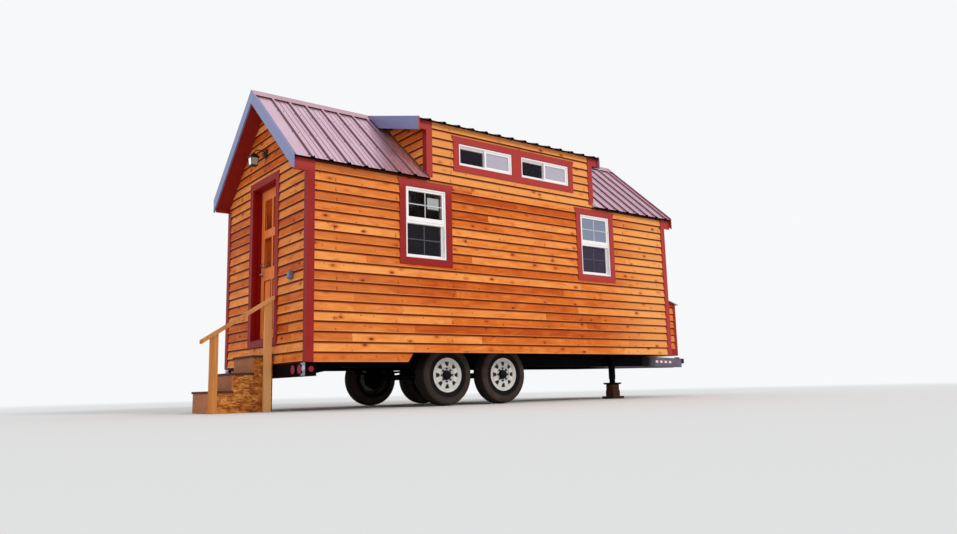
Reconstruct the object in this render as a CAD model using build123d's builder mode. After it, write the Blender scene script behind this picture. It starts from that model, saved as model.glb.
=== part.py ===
from build123d import *
from math import atan, atan2, cos, sin, sqrt, tan
import os

os.makedirs("parts", exist_ok=True)

# A tiny house on a tandem-axle trailer, in millimetres. X runs from the door
# end towards the hitch, -Y is the side with the handrail, Z = 0 is the ground.

# House body, measured on the sheathing that the boards are nailed to
house_length = 6155
house_width = 2480
wall_thickness = 140
skirt_thickness = 12
trim_thickness = 25
trim_width = 89
siding_thickness = 20
fit_gap = 0.3

# What stands in front of the door end and ahead of the hitch end
stair_reach = 872
tongue_reach = 1925

# Trailer frame, from the wheels up
tyre_radius = 384
tyre_width = 218
rim_radius = 218
rim_width = 190
wheel_spacing = 915
rear_axle_from_door_end = 2015
tyre_inset = 195
beam_bottom = 494
beam_depth = 158
beam_flange = 58
beam_web = 8
tyre_to_beam = 51
joist_depth = 127
joist_flange = 48
joist_web = 6
floor_thickness = 75
bay_clearance = 45
skirt_step_from_door_end = 1288
skirt_step_run = 86
rear_skirt_drop = 113

# Roof
ridge_height = 3988
eave_height = 2828
eave_overhang = 60
roof_thickness = 120
rear_rake_overhang = 222
front_rake_overhang = 180
rake_face_height = 177
rake_trim_thickness = 20
sheet_thickness = 3
rib_height = 19
rib_spacing = 228.6
rib_base = 56
rib_top = 22
first_rib_from_door_end = 22
ridge_gap = 60
cap_leg = 150
cap_thickness = 2

# Dormers, one on each side, their front wall flush with the side wall
dormer_start = 1611
dormer_end = 4545
dormer_eave_height = 3593
dormer_overhang = 165
cheek_thickness = 115
main_return_lap = 42
dormer_return_lap = 16

# Windows
sash_window_width = 594
sash_window_height = 885
sash_window_sill = 1809
sash_window_centres = (1574, 4581)
slider_width = 897
slider_height = 288
slider_sill = 3090
slider_centres = (2550, 3622)
window_depth = 85
window_proud = 15
window_rim = 20
sash_rim = 26
sash_setback = 12
sash_depth = 30
glass_thickness = 6
casing_reveal = 3
head_flare = 25

# Door
leaf_width = 711
leaf_thickness = 44
door_gap = 5
door_head = 2795
jamb_thickness = 25
stop_depth = 12
stop_length = 45
threshold_thickness = 15
sill_board = 82
door_casing_reveal = 6
stile_width = 122
mullion_width = 60
top_rail = 140
light_rail = 118
lock_rail = 168
bottom_rail = 124
light_height = 376
panel_recess = 9
panel_bevel = 30
handle_height = 829
bolt_above_handle = 117
handle_backset = 65
hinge_radius = 8
hinge_pin_radius = 4
hinge_height = 90
hinge_plate = 3
hinge_plate_width = 34
hinge_plate_lap = 2
hinge_from_end = 200

# Utility box on the tongue
box_depth = 486
box_width = 1980
box_back_height = 1630
box_fall = 136
box_roof_thickness = 12
box_roof_overhang = 35
box_trim_width = 64
box_trim_thickness = 18
box_base_trim = 115

# Stair and handrail
stair_offset = -45
stair_width = 610
first_rise = 250
tread_count = 3
tread_run = 241
tread_thickness = 25
tread_nosing = 14
tread_side_overhang = 8
riser_thickness = 19
stair_panel_thickness = 12
post_width = 89
post_thickness = 38
post_distances = (98, 726)
rail_height_at_wall = 1364
rail_slope = 0.641
rail_wall_gap = 35

# Values worked out from the ones above
door_x = (stair_reach - house_length - tongue_reach) / 2
hitch_x = door_x + house_length
half_width = house_width / 2
metal_half = half_width + eave_overhang
beam_top = beam_bottom + beam_depth
joist_top = beam_top + joist_depth
floor_level = joist_top + floor_thickness
skirt_bottom = beam_top
rear_skirt_bottom = skirt_bottom - rear_skirt_drop
main_slope = (ridge_height - eave_height) / metal_half
dormer_slope = (ridge_height - dormer_eave_height) / metal_half
main_pitch = atan(main_slope)
dormer_pitch = atan(dormer_slope)
main_drop = roof_thickness / cos(main_pitch)
dormer_drop = roof_thickness / cos(dormer_pitch)
main_build = (sheet_thickness + rib_height) / cos(main_pitch)
dormer_build = (sheet_thickness + rib_height) / cos(dormer_pitch)
dormer_x = (door_x + dormer_start, door_x + dormer_end)
wheel_x = (door_x + rear_axle_from_door_end, door_x + rear_axle_from_door_end + wheel_spacing)
tyre_y = half_width - tyre_inset - tyre_width / 2
beam_y = tyre_y - tyre_width / 2 - tyre_to_beam - beam_flange / 2
bay_x = (wheel_x[0] - tyre_radius - bay_clearance, wheel_x[1] + tyre_radius + bay_clearance)
jamb_half = leaf_width / 2 + door_gap
rough_half = jamb_half + jamb_thickness
rough_head = door_head + jamb_thickness
tread_rise = (floor_level - first_rise) / tread_count
box_front_height = box_back_height - box_fall


def main_z(y, drop=0):
    """height of the main roof plane at a distance y from the ridge line"""
    return ridge_height - drop - main_slope * abs(y)


def dormer_z(y, drop=0):
    """height of the dormer roof plane at a distance y from the ridge line"""
    return ridge_height - drop - dormer_slope * abs(y)


def block(x, y, z, mode=Mode.ADD):
    """adds a box that spans the given pairs to the part being built"""
    centre = ((x[0] + x[1]) / 2, (y[0] + y[1]) / 2, (z[0] + z[1]) / 2)
    with Locations(centre):
        Box(x[1] - x[0], y[1] - y[0], z[1] - z[0], mode=mode)


def outline(*points):
    """makes a straight-sided face in the sketch being built"""
    with BuildLine() as border:
        Polyline(*points, close=True)
    make_face(border.edges())


def save(piece, name):
    """labels a finished piece and writes it"""
    piece.part.label = name
    export_step(piece.part, f"parts/{name}.step")


def slope_band(side, height, half, drop):
    """one slope's band of a given depth under a roof plane, stopping just short of the ridge"""
    outline(
        (side * half, height(half)),
        (side * fit_gap, height(fit_gap)),
        (side * fit_gap, height(fit_gap, drop)),
        (side * half, height(half, drop)),
    )


# The space above the roofs' undersides, which trims every wall below them
above_ridge = 4 * roof_thickness
beyond_rakes = 2 * (rear_rake_overhang + front_rake_overhang)
clear_height = ridge_height + above_ridge
with BuildPart() as roof_space:
    for x_start, x_end, height, drop in (
        (door_x - beyond_rakes, dormer_x[0], main_z, main_drop),
        (dormer_x[0], dormer_x[1], dormer_z, dormer_drop),
        (dormer_x[1], hitch_x + beyond_rakes, main_z, main_drop),
    ):
        with BuildSketch(Plane.YZ.offset(x_start)):
            outline(
                (-house_width, height(house_width, drop)),
                (0, height(0, drop)),
                (house_width, height(house_width, drop)),
                (house_width, clear_height),
                (-house_width, clear_height),
            )
        extrude(amount=x_end - x_start)

# The space under the main roof's ribbed metal, which trims the dormer overhangs
with BuildPart() as main_roof_space:
    for x_start, x_end in (
        (dormer_x[0] - 2 * dormer_overhang, dormer_x[0]),
        (dormer_x[1], dormer_x[1] + 2 * dormer_overhang),
    ):
        with BuildSketch(Plane.YZ.offset(x_start)):
            outline(
                (-house_width, main_z(house_width, -main_build)),
                (0, main_z(0, -main_build)),
                (house_width, main_z(house_width, -main_build)),
                (house_width, 0),
                (-house_width, 0),
            )
        extrude(amount=x_end - x_start)


# Trailer frame. Each main beam is a channel that bends inward at the hitch
# end and becomes one leg of the tongue.
bumper_depth = 130
bumper_height = 152
coupler_overhang = 190
bend_behind_wall = 120
tongue_tip_x = hitch_x + tongue_reach - coupler_overhang
tongue_tip_y = 78
tongue_bend_x = hitch_x - bend_behind_wall
beam_start_x = door_x - siding_thickness + bumper_depth

with BuildPart() as near_beam:
    with BuildLine() as beam_path:
        Polyline(
            (beam_start_x, -beam_y, beam_bottom),
            (tongue_bend_x, -beam_y, beam_bottom),
            (tongue_tip_x, -tongue_tip_y, beam_bottom),
        )
    with BuildSketch(Plane.YZ.offset(beam_start_x)):
        outline(
            (-beam_y - beam_flange / 2, beam_bottom),
            (-beam_y + beam_flange / 2, beam_bottom),
            (-beam_y + beam_flange / 2, beam_bottom + beam_web),
            (-beam_y - beam_flange / 2 + beam_web, beam_bottom + beam_web),
            (-beam_y - beam_flange / 2 + beam_web, beam_top - beam_web),
            (-beam_y + beam_flange / 2, beam_top - beam_web),
            (-beam_y + beam_flange / 2, beam_top),
            (-beam_y - beam_flange / 2, beam_top),
        )
    sweep(path=beam_path.line, transition=Transition.RIGHT)
save(near_beam, "near_beam")

with BuildPart() as far_beam:
    mirror(near_beam.part, about=Plane.XZ)
save(far_beam, "far_beam")


def joist(x, half_length):
    """a floor channel across the beams, its web at x and its flanges towards +X"""
    with BuildSketch(Plane.XZ.offset(-half_length)) as profile:
        outline(
            (x, beam_top),
            (x + joist_flange, beam_top),
            (x + joist_flange, beam_top + joist_web),
            (x + joist_web, beam_top + joist_web),
            (x + joist_web, joist_top - joist_web),
            (x + joist_flange, joist_top - joist_web),
            (x + joist_flange, joist_top),
            (x, joist_top),
        )
    extrude(profile.sketch, amount=2 * half_length)


def rub_rail(x_start, x_end):
    """the flat bars that close the joists' ends on both sides"""
    for side in (-1, 1):
        inner = side * (half_width - skirt_thickness - joist_web)
        outer = side * (half_width - skirt_thickness)
        block((x_start, x_end), sorted((inner, outer)), (beam_top, joist_top))


joist_spacing = 560
joist_half = half_width - skirt_thickness
frame_start = door_x + skirt_thickness
frame_end = hitch_x - skirt_thickness

with BuildPart() as rear_floor_frame:
    rear_joists = 3
    rear_run = bay_x[0] - joist_flange - frame_start
    for index in range(rear_joists):
        joist(frame_start + index * rear_run / (rear_joists - 1), joist_half)
    rub_rail(frame_start, bay_x[0])
save(rear_floor_frame, "rear_floor_frame")

with BuildPart() as front_floor_frame:
    front_run = frame_end - joist_flange - bay_x[1]
    front_joists = round(front_run / joist_spacing) + 1
    for index in range(front_joists):
        joist(bay_x[1] + index * front_run / (front_joists - 1), joist_half)
    rub_rail(bay_x[1], frame_end)
save(front_floor_frame, "front_floor_frame")

with BuildPart() as wheel_bay_frame:
    bay_joists = 2
    bay_step = (bay_x[1] - bay_x[0]) / (bay_joists + 1)
    for index in range(bay_joists):
        joist(bay_x[0] + (index + 1) * bay_step, beam_y + beam_flange / 2)
save(wheel_bay_frame, "wheel_bay_frame")

with BuildPart() as floor_deck:
    block(
        (door_x + skirt_thickness, hitch_x - skirt_thickness),
        (-half_width + skirt_thickness, half_width - skirt_thickness),
        (joist_top, floor_level),
    )
save(floor_deck, "floor_deck")

# The skirt is the sheathing that hangs below the floor all round. It steps up
# with a slanting cut just behind the rear wheels.
with BuildPart() as skirt:
    with BuildSketch(Plane.XY.offset(rear_skirt_bottom)):
        with Locations(((door_x + hitch_x) / 2, 0)):
            Rectangle(house_length, house_width)
            Rectangle(
                house_length - 2 * skirt_thickness,
                house_width - 2 * skirt_thickness,
                mode=Mode.SUBTRACT,
            )
    extrude(amount=floor_level - rear_skirt_bottom)
    step_x = door_x + skirt_step_from_door_end
    with BuildSketch(Plane.XZ.offset(-house_width)):
        outline(
            (step_x - skirt_step_run, rear_skirt_bottom - rear_skirt_drop),
            (step_x, rear_skirt_bottom),
            (step_x + skirt_step_run, skirt_bottom),
            (hitch_x + trim_width, skirt_bottom),
            (hitch_x + trim_width, rear_skirt_bottom - rear_skirt_drop),
        )
    extrude(amount=2 * house_width, mode=Mode.SUBTRACT)
save(skirt, "skirt")

# The rear bumper is a channel across the door end, with a sloping gusset up
# to the underside of each beam
gusset_length = 560
gusset_width = 40
gusset_start = 40
bumper_top = rear_skirt_bottom
bumper_x = door_x - siding_thickness

with BuildPart() as rear_bumper:
    with BuildSketch(Plane.XZ.offset(-half_width)):
        outline(
            (bumper_x, bumper_top - bumper_height),
            (bumper_x + bumper_depth, bumper_top - bumper_height),
            (bumper_x + bumper_depth, bumper_top),
            (bumper_x, bumper_top),
        )
        with Locations((bumper_x + beam_web + bumper_depth / 2, bumper_top - bumper_height / 2)):
            Rectangle(bumper_depth, bumper_height - 2 * beam_web, mode=Mode.SUBTRACT)
    extrude(amount=house_width)
    for side in (-1, 1):
        with BuildSketch(Plane.XZ.offset(-side * beam_y - gusset_width / 2)):
            outline(
                (bumper_x + gusset_start, bumper_top - bumper_height),
                (bumper_x + bumper_depth, bumper_top - bumper_height),
                (bumper_x + bumper_depth + gusset_length, beam_bottom),
                (bumper_x + gusset_start, beam_bottom),
            )
        extrude(amount=gusset_width)
    for side in (-1, 1):
        block(
            (bumper_x, bumper_x + bumper_depth),
            sorted((side * half_width, side * (half_width - beam_web))),
            (bumper_top - bumper_height, bumper_top),
        )
save(rear_bumper, "rear_bumper")

lamp_radius = 50
lamp_depth = 14
lamp_from_side = (128, 300)
marker_radius = 31
marker_depth = 10
with BuildPart() as tail_lights:
    lamp_z = bumper_top - bumper_height / 2
    with BuildSketch(Plane.YZ.offset(bumper_x)):
        for side in (-1, 1):
            for inset in lamp_from_side:
                with Locations((side * (half_width - inset), lamp_z)):
                    Circle(lamp_radius)
    extrude(amount=-lamp_depth)
    for side in (-1, 1):
        with BuildSketch(Plane.XZ.offset(-side * half_width)):
            with Locations((bumper_x + bumper_depth / 2, lamp_z)):
                Circle(marker_radius)
        extrude(amount=-side * marker_depth)
save(tail_lights, "tail_lights")

# Coupler: a wedge between the tongue legs with a ball socket under its nose
ball_radius = 29.6
socket_depth = 48
nose_radius = 48
coupler_height = 86
coupler_top = beam_top
nose_x = hitch_x + tongue_reach - nose_radius
leg_angle = atan2(beam_y - tongue_tip_y, tongue_tip_x - tongue_bend_x)
wedge_length = 260
latch_from_nose = 120
latch_length = 130
latch_width = 34
latch_height = 26
latch_taper = 8
with BuildPart() as coupler:
    with BuildSketch(Plane.XY.offset(coupler_top - coupler_height)):
        wedge_y = tongue_tip_y - beam_flange / 2 / cos(leg_angle) - fit_gap
        outline(
            (tongue_tip_x - wedge_length, -wedge_y - wedge_length * tan(leg_angle)),
            (tongue_tip_x - wedge_length, wedge_y + wedge_length * tan(leg_angle)),
            (tongue_tip_x, wedge_y),
            (nose_x, nose_radius),
            (nose_x, -nose_radius),
            (tongue_tip_x, -wedge_y),
        )
        with Locations((nose_x, 0)):
            Circle(nose_radius)
    extrude(amount=coupler_height)
    with Locations((nose_x, 0, coupler_top - coupler_height)):
        Cylinder(
            ball_radius,
            socket_depth,
            align=(Align.CENTER, Align.CENTER, Align.MIN),
            mode=Mode.SUBTRACT,
        )
    with BuildSketch(Plane.XY.offset(coupler_top)):
        with Locations((nose_x - latch_from_nose, 0)):
            SlotOverall(latch_length, latch_width)
    extrude(amount=latch_height, taper=latch_taper)
save(coupler, "coupler")

# Axles: a tube with a backing plate and a spindle at each end
axle_radius = 38
backing_radius = 150
backing_thickness = 8
spindle_radius = 22
hub_length = 110
hub_radius = 58
backing_from_hub = 30
spindle_short_of_hub = 20
hub_inner_y = tyre_y - hub_length / 2
with BuildPart() as axles:
    for x in wheel_x:
        with BuildSketch(Plane.XZ.offset(-hub_inner_y + fit_gap)):
            with Locations((x, tyre_radius)):
                Circle(axle_radius)
        extrude(amount=2 * (hub_inner_y - fit_gap))
        for side in (-1, 1):
            with BuildSketch(Plane.XZ.offset(-side * (hub_inner_y - backing_from_hub))):
                with Locations((x, tyre_radius)):
                    Circle(backing_radius)
            extrude(amount=side * backing_thickness)
            with BuildSketch(Plane.XZ.offset(-side * (hub_inner_y - fit_gap))):
                with Locations((x, tyre_radius)):
                    Circle(spindle_radius)
            extrude(amount=-side * (hub_length - spindle_short_of_hub))
save(axles, "axles")

# Leaf springs under each beam: three leaves to a spring, rolled eyes at the
# ends, hangers at the outer eyes and an equalizer between the two springs
spring_half = 318
spring_width = 44
leaf_step = 9
eye_radius = 17
eye_drop = 24
eye_z = beam_bottom - eye_drop
seat_z = tyre_radius + axle_radius
leaf_shares = (1, 0.72, 0.42)
hanger_width = 64
hanger_thickness = 8
hanger_below_eye = 26
equalizer_end_half = 12
equalizer_top_half = 30


def leaf(centre_x, half, bottom, sag):
    """one leaf, an arc band that sags in its middle by the given height"""
    with BuildLine() as band:
        low = ThreePointArc(
            (centre_x - half, bottom + sag), (centre_x, bottom), (centre_x + half, bottom + sag)
        )
        high = ThreePointArc(
            (centre_x - half, bottom + sag + leaf_step),
            (centre_x, bottom + leaf_step),
            (centre_x + half, bottom + sag + leaf_step),
        )
        Line(low @ 0, high @ 0)
        Line(low @ 1, high @ 1)
    make_face(band.edges())


with BuildPart() as leaf_springs:
    for side in (-1, 1):
        with BuildSketch(Plane.XZ.offset(-side * beam_y - spring_width / 2)):
            for x in wheel_x:
                full_sag = eye_z - seat_z - leaf_step * (len(leaf_shares) - 0.5)
                for index, share in enumerate(leaf_shares):
                    level = len(leaf_shares) - 1 - index
                    leaf(x, spring_half * share, seat_z + level * leaf_step, full_sag * share**2)
                with Locations((x - spring_half, eye_z), (x + spring_half, eye_z)):
                    Circle(eye_radius)
            mid_x = (wheel_x[0] + wheel_x[1]) / 2
            outline(
                (wheel_x[0] + spring_half, eye_z - equalizer_end_half),
                (wheel_x[1] - spring_half, eye_z - equalizer_end_half),
                (wheel_x[1] - spring_half, eye_z + equalizer_end_half),
                (mid_x + equalizer_top_half, beam_bottom),
                (mid_x - equalizer_top_half, beam_bottom),
                (wheel_x[0] + spring_half, eye_z + equalizer_end_half),
            )
        extrude(amount=spring_width)
        for x in (wheel_x[0] - spring_half, mid_x, wheel_x[1] + spring_half):
            for edge in (-1, 1):
                start = side * beam_y + edge * spring_width / 2
                end = side * beam_y + edge * (spring_width / 2 + hanger_thickness)
                block(
                    (x - hanger_width / 2, x + hanger_width / 2),
                    sorted((start, end)),
                    (eye_z - hanger_below_eye, beam_bottom),
                )
save(leaf_springs, "leaf_springs")

# Drop-leg jack near the hitch end, standing on stacked blocks
jack_from_hitch_end = 885
jack_x = hitch_x - jack_from_hitch_end
jack_tube = 76
jack_tube_corner = 8
jack_leg = 62
jack_foot = 178
jack_foot_thickness = 8
jack_foot_lip = 26
jack_sleeve_bottom = 300
block_layers = ((235, 38), (150, 89), (138, 89))
stack_height = sum(layer[1] for layer in block_layers)
jack_y = -beam_y - beam_flange / 2 - jack_tube / 2
with BuildPart() as jack:
    with BuildSketch(Plane.XY.offset(jack_sleeve_bottom)):
        with Locations((jack_x, jack_y)):
            RectangleRounded(jack_tube, jack_tube, jack_tube_corner)
    extrude(amount=beam_top - jack_sleeve_bottom)
    with BuildSketch(Plane.XY.offset(stack_height)):
        with Locations((jack_x, jack_y)):
            Rectangle(jack_leg, jack_leg)
    extrude(amount=jack_sleeve_bottom - stack_height)
    with BuildSketch(Plane.XZ.offset(-jack_y - jack_foot / 2)):
        foot_end = jack_foot / 2
        lip_end = jack_foot / 2 + jack_foot_lip
        outline(
            (jack_x - foot_end, stack_height),
            (jack_x + foot_end, stack_height),
            (jack_x + lip_end, stack_height + jack_foot_lip),
            (jack_x + lip_end - jack_foot_thickness, stack_height + jack_foot_lip),
            (jack_x + foot_end - jack_foot_thickness, stack_height + jack_foot_thickness),
            (jack_x - foot_end + jack_foot_thickness, stack_height + jack_foot_thickness),
            (jack_x - lip_end + jack_foot_thickness, stack_height + jack_foot_lip),
            (jack_x - lip_end, stack_height + jack_foot_lip),
        )
    extrude(amount=jack_foot)
save(jack, "jack")

with BuildPart() as jack_blocks:
    level = 0
    for size, thickness in block_layers:
        with BuildSketch(Plane.XY.offset(level)):
            with Locations((jack_x, jack_y)):
                Rectangle(size, size)
        extrude(amount=thickness)
        level += thickness
save(jack_blocks, "jack_blocks")

# Tyre: a revolved carcass, its tread slightly crowned and its bead on the rim
tread_crown = 6
tread_share = 0.8
shoulder_share = 0.94
shoulder_drop = 22
tread_wall = 16
sidewall_radius = 300
bead_radius = 203
bead_height = 22
bead_width = 18
bead_inset = 14
bead_half = rim_width / 2 - bead_inset
with BuildPart() as tyre:
    with BuildSketch(Plane.XY):
        with BuildLine():
            half = tyre_width / 2
            tread_edge = tyre_radius - tread_crown
            shoulder = tyre_radius - shoulder_drop
            bead_inner = bead_radius + fit_gap
            bead_outer = bead_radius + bead_height
            bead_back = bead_half - bead_width
            tread = ThreePointArc(
                (tread_edge, -half * tread_share), (tyre_radius, 0), (tread_edge, half * tread_share)
            )
            Line(tread @ 1, (shoulder, half * shoulder_share))
            side_top = ThreePointArc(
                (shoulder, half * shoulder_share), (sidewall_radius, half), (bead_outer, bead_half)
            )
            Line(side_top @ 1, (bead_inner, bead_half))
            Line((bead_inner, bead_half), (bead_inner, bead_back))
            ThreePointArc((bead_inner, bead_back), (tyre_radius - tread_wall, 0), (bead_inner, -bead_back))
            Line((bead_inner, -bead_back), (bead_inner, -bead_half))
            Line((bead_inner, -bead_half), (bead_outer, -bead_half))
            side_low = ThreePointArc(
                (bead_outer, -bead_half), (sidewall_radius, -half), (shoulder, -half * shoulder_share)
            )
            Line(side_low @ 1, tread @ 0)
        make_face()
    revolve(axis=Axis.Y)

# Rim: a dished disc, a stepped barrel behind it, a hub and its cap, modelled
# with the outer face towards -Y. Depths are measured inward from that face.
disc_thickness = 10
dish_radius = 92
dish_depth = 26
dish_bevel = 4
crown_radius = 120
crown_depth = 4
crown_bevel = 2
barrel_radius = 172
barrel_wall = 10
barrel_depth = 14
barrel_lap = 6
barrel_end = 20
flare_run = 14
seat_step = 4
seat_depth = 12
seat_wall = 12
lip_wall = 9
lip_depth = 8
gutter_depth = 6
hub_cap_inset = 14
hub_cap_draft = 4
hub_cap_bevel = 16
hub_cap_shoulder = 4
hub_cap_proud = 10
spoke_windows = 8
spoke_window_circle = 140
spoke_window_base = 58
spoke_window_height = 40
spoke_window_angle = 78
lug_count = 8
lug_circle = 73
lug_radius = 10
lug_length = 14
with BuildPart() as rim:
    with BuildSketch(Plane.XY):
        rim_half = rim_width / 2
        outline(
            (hub_radius, dish_depth + disc_thickness - rim_half),
            (dish_radius + dish_bevel, dish_depth + disc_thickness - rim_half),
            (crown_radius - crown_bevel, crown_depth + disc_thickness - rim_half),
            (barrel_radius, barrel_depth + disc_thickness - rim_half),
            (barrel_radius + barrel_wall, barrel_depth + disc_thickness - rim_half),
            (bead_radius - seat_step, seat_depth - rim_half),
            (rim_radius - seat_step, lip_depth - rim_half),
            (rim_radius, -rim_half),
            (rim_radius - lip_wall, -rim_half),
            (bead_radius - seat_wall, gutter_depth - rim_half),
            (bead_radius - seat_wall, gutter_depth + seat_step - rim_half),
            (barrel_radius + crown_bevel, barrel_depth - rim_half),
            (crown_radius, crown_depth - rim_half),
            (dish_radius, dish_depth - rim_half),
            (hub_radius, dish_depth - rim_half),
        )
        outline(
            (barrel_radius, barrel_depth + barrel_lap - rim_half),
            (barrel_radius + barrel_wall, barrel_depth + barrel_lap - rim_half),
            (barrel_radius + barrel_wall, barrel_end),
            (bead_radius, barrel_end + flare_run),
            (bead_radius, rim_half - seat_depth),
            (rim_radius, rim_half - lip_depth),
            (rim_radius, rim_half),
            (rim_radius - lip_wall, rim_half),
            (rim_radius - lip_wall, rim_half - lip_depth),
            (bead_radius - barrel_wall, rim_half - seat_depth),
            (bead_radius - barrel_wall, barrel_end + flare_run + barrel_lap),
            (barrel_radius, barrel_end + barrel_lap),
        )
        outline(
            (spindle_radius + fit_gap, dish_depth - rim_half),
            (hub_radius, dish_depth - rim_half),
            (hub_radius, hub_length / 2),
            (spindle_radius + fit_gap, hub_length / 2),
        )
        hub_cap_radius = hub_radius - hub_cap_inset
        outline(
            (0, dish_depth - rim_half),
            (hub_cap_radius, dish_depth - rim_half),
            (hub_cap_radius - hub_cap_draft, -hub_cap_shoulder - rim_half),
            (hub_cap_radius - hub_cap_draft - hub_cap_bevel, -hub_cap_proud - rim_half),
            (0, -hub_cap_proud - rim_half),
        )
    revolve(axis=Axis.Y)
    with BuildSketch(Plane.XZ):
        with PolarLocations(spoke_window_circle, spoke_windows):
            Trapezoid(spoke_window_base, spoke_window_height, spoke_window_angle, rotation=90)
    extrude(amount=rim_width, mode=Mode.SUBTRACT)
    with BuildSketch(Plane.XZ.offset(rim_width / 2 - dish_depth)):
        with PolarLocations(lug_circle, lug_count):
            Circle(lug_radius)
    extrude(amount=lug_length)

for index, x in enumerate(wheel_x):
    end_name = ("rear", "front")[index]
    for side, side_name in ((-1, "near"), (1, "far")):
        turn = 0 if side < 0 else 180
        place = Location((x, side * tyre_y, tyre_radius), (0, 0, turn))
        with BuildPart() as wheel_tyre:
            with Locations(place):
                add(tyre.part)
        save(wheel_tyre, f"{side_name}_{end_name}_tyre")
        with BuildPart() as wheel_rim:
            with Locations(place):
                add(rim.part)
        save(wheel_rim, f"{side_name}_{end_name}_rim")


# Walls. The side walls stand between the gable walls and rise flush into the
# dormers; all tops are bevelled to the roof's underside.
def window_centres():
    """each window as (centre x, centre z, width, height)"""
    for offset in sash_window_centres:
        yield (
            door_x + offset,
            sash_window_sill + sash_window_height / 2,
            sash_window_width,
            sash_window_height,
        )
    for offset in slider_centres:
        yield (door_x + offset, slider_sill + slider_height / 2, slider_width, slider_height)


with BuildPart() as near_wall:
    with BuildSketch(Plane.XZ.offset(half_width)):
        outline(
            (door_x + wall_thickness, floor_level),
            (hitch_x - wall_thickness, floor_level),
            (hitch_x - wall_thickness, ridge_height),
            (door_x + wall_thickness, ridge_height),
        )
        for x, z, width, height in window_centres():
            with Locations((x, z)):
                Rectangle(width + 2 * fit_gap, height + 2 * fit_gap, mode=Mode.SUBTRACT)
    extrude(amount=-wall_thickness)
    add(roof_space.part, mode=Mode.SUBTRACT)
save(near_wall, "near_wall")

with BuildPart() as far_wall:
    mirror(near_wall.part, about=Plane.XZ)
save(far_wall, "far_wall")

with BuildPart() as near_door_wall:
    block(
        (door_x, door_x + wall_thickness),
        (-half_width, -rough_half),
        (floor_level, rough_head),
    )
    add(roof_space.part, mode=Mode.SUBTRACT)
save(near_door_wall, "near_door_wall")

with BuildPart() as far_door_wall:
    block(
        (door_x, door_x + wall_thickness),
        (rough_half, half_width),
        (floor_level, rough_head),
    )
    add(roof_space.part, mode=Mode.SUBTRACT)
save(far_door_wall, "far_door_wall")

with BuildPart() as door_gable:
    block((door_x, door_x + wall_thickness), (-half_width, half_width), (rough_head, ridge_height))
    add(roof_space.part, mode=Mode.SUBTRACT)
save(door_gable, "door_gable")

with BuildPart() as hitch_wall:
    block((hitch_x - wall_thickness, hitch_x), (-half_width, half_width), (floor_level, ridge_height))
    add(roof_space.part, mode=Mode.SUBTRACT)
save(hitch_wall, "hitch_wall")

# Cheeks: the triangular side walls of both dormers, standing on the rafters
with BuildPart() as dormer_cheeks:
    for x_start in (dormer_x[0], dormer_x[1] - cheek_thickness):
        for side in (-1, 1):
            outer = half_width - wall_thickness
            with BuildSketch(Plane.YZ.offset(x_start)):
                outline(
                    (side * outer, main_z(outer, main_drop)),
                    (side * outer, dormer_z(outer, dormer_drop)),
                    (side * main_drop / 2, dormer_z(main_drop / 2, dormer_drop)),
                    (side * main_drop / 2, main_z(main_drop / 2, main_drop)),
                )
            extrude(amount=cheek_thickness)
save(dormer_cheeks, "dormer_cheeks")

# Roof decks: the main roof behind and ahead of the dormers, and the two
# dormer roofs, which reach over the main roof at both ends
rake_x = (
    door_x - rear_rake_overhang + rake_trim_thickness,
    hitch_x + front_rake_overhang - rake_trim_thickness,
)
with BuildPart() as rear_roof_deck:
    with BuildSketch(Plane.YZ.offset(rake_x[0])):
        for side in (-1, 1):
            slope_band(side, main_z, half_width, main_drop)
    extrude(amount=dormer_x[0] - rake_x[0])
save(rear_roof_deck, "rear_roof_deck")

with BuildPart() as front_roof_deck:
    with BuildSketch(Plane.YZ.offset(dormer_x[1])):
        for side in (-1, 1):
            slope_band(side, main_z, half_width, main_drop)
    extrude(amount=rake_x[1] - dormer_x[1])
save(front_roof_deck, "front_roof_deck")

dormer_rake_x = (
    dormer_x[0] - dormer_overhang + rake_trim_thickness,
    dormer_x[1] + dormer_overhang - rake_trim_thickness,
)
with BuildPart() as dormer_roof_deck:
    with BuildSketch(Plane.YZ.offset(dormer_rake_x[0])):
        for side in (-1, 1):
            slope_band(side, dormer_z, half_width, dormer_drop)
    extrude(amount=dormer_rake_x[1] - dormer_rake_x[0])
    add(main_roof_space.part, mode=Mode.SUBTRACT)
save(dormer_roof_deck, "dormer_roof_deck")


# Ribbed metal roofing: one sheet profile carried down each slope
def ribbed_panels(x_start, x_end, height, pitch):
    """ribbed sheets on both slopes of a roof plane, from near the ridge to the eave"""
    down_slope = Vector(0, -cos(pitch), -sin(pitch))
    top_edge = Vector(x_start, -ridge_gap, height(ridge_gap))
    slope_length = (metal_half - ridge_gap) / cos(pitch)
    first_rib = door_x + first_rib_from_door_end
    while first_rib - rib_spacing > x_start + rib_base:
        first_rib -= rib_spacing
    while first_rib < x_start + rib_base:
        first_rib += rib_spacing
    points = [(0, 0), (0, sheet_thickness)]
    rib = first_rib - x_start
    while rib < x_end - x_start - rib_base:
        points += [
            (rib - rib_base / 2, sheet_thickness),
            (rib - rib_top / 2, sheet_thickness + rib_height),
            (rib + rib_top / 2, sheet_thickness + rib_height),
            (rib + rib_base / 2, sheet_thickness),
        ]
        rib += rib_spacing
    points += [(x_end - x_start, sheet_thickness), (x_end - x_start, 0)]
    with BuildSketch(Plane(origin=top_edge, x_dir=(1, 0, 0), z_dir=down_slope)) as profile:
        outline(*points)
    extrude(profile.sketch, amount=slope_length)
    mirror(about=Plane.XZ)


with BuildPart() as rear_roof_metal:
    ribbed_panels(rake_x[0], dormer_x[0], main_z, main_pitch)
save(rear_roof_metal, "rear_roof_metal")

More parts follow.
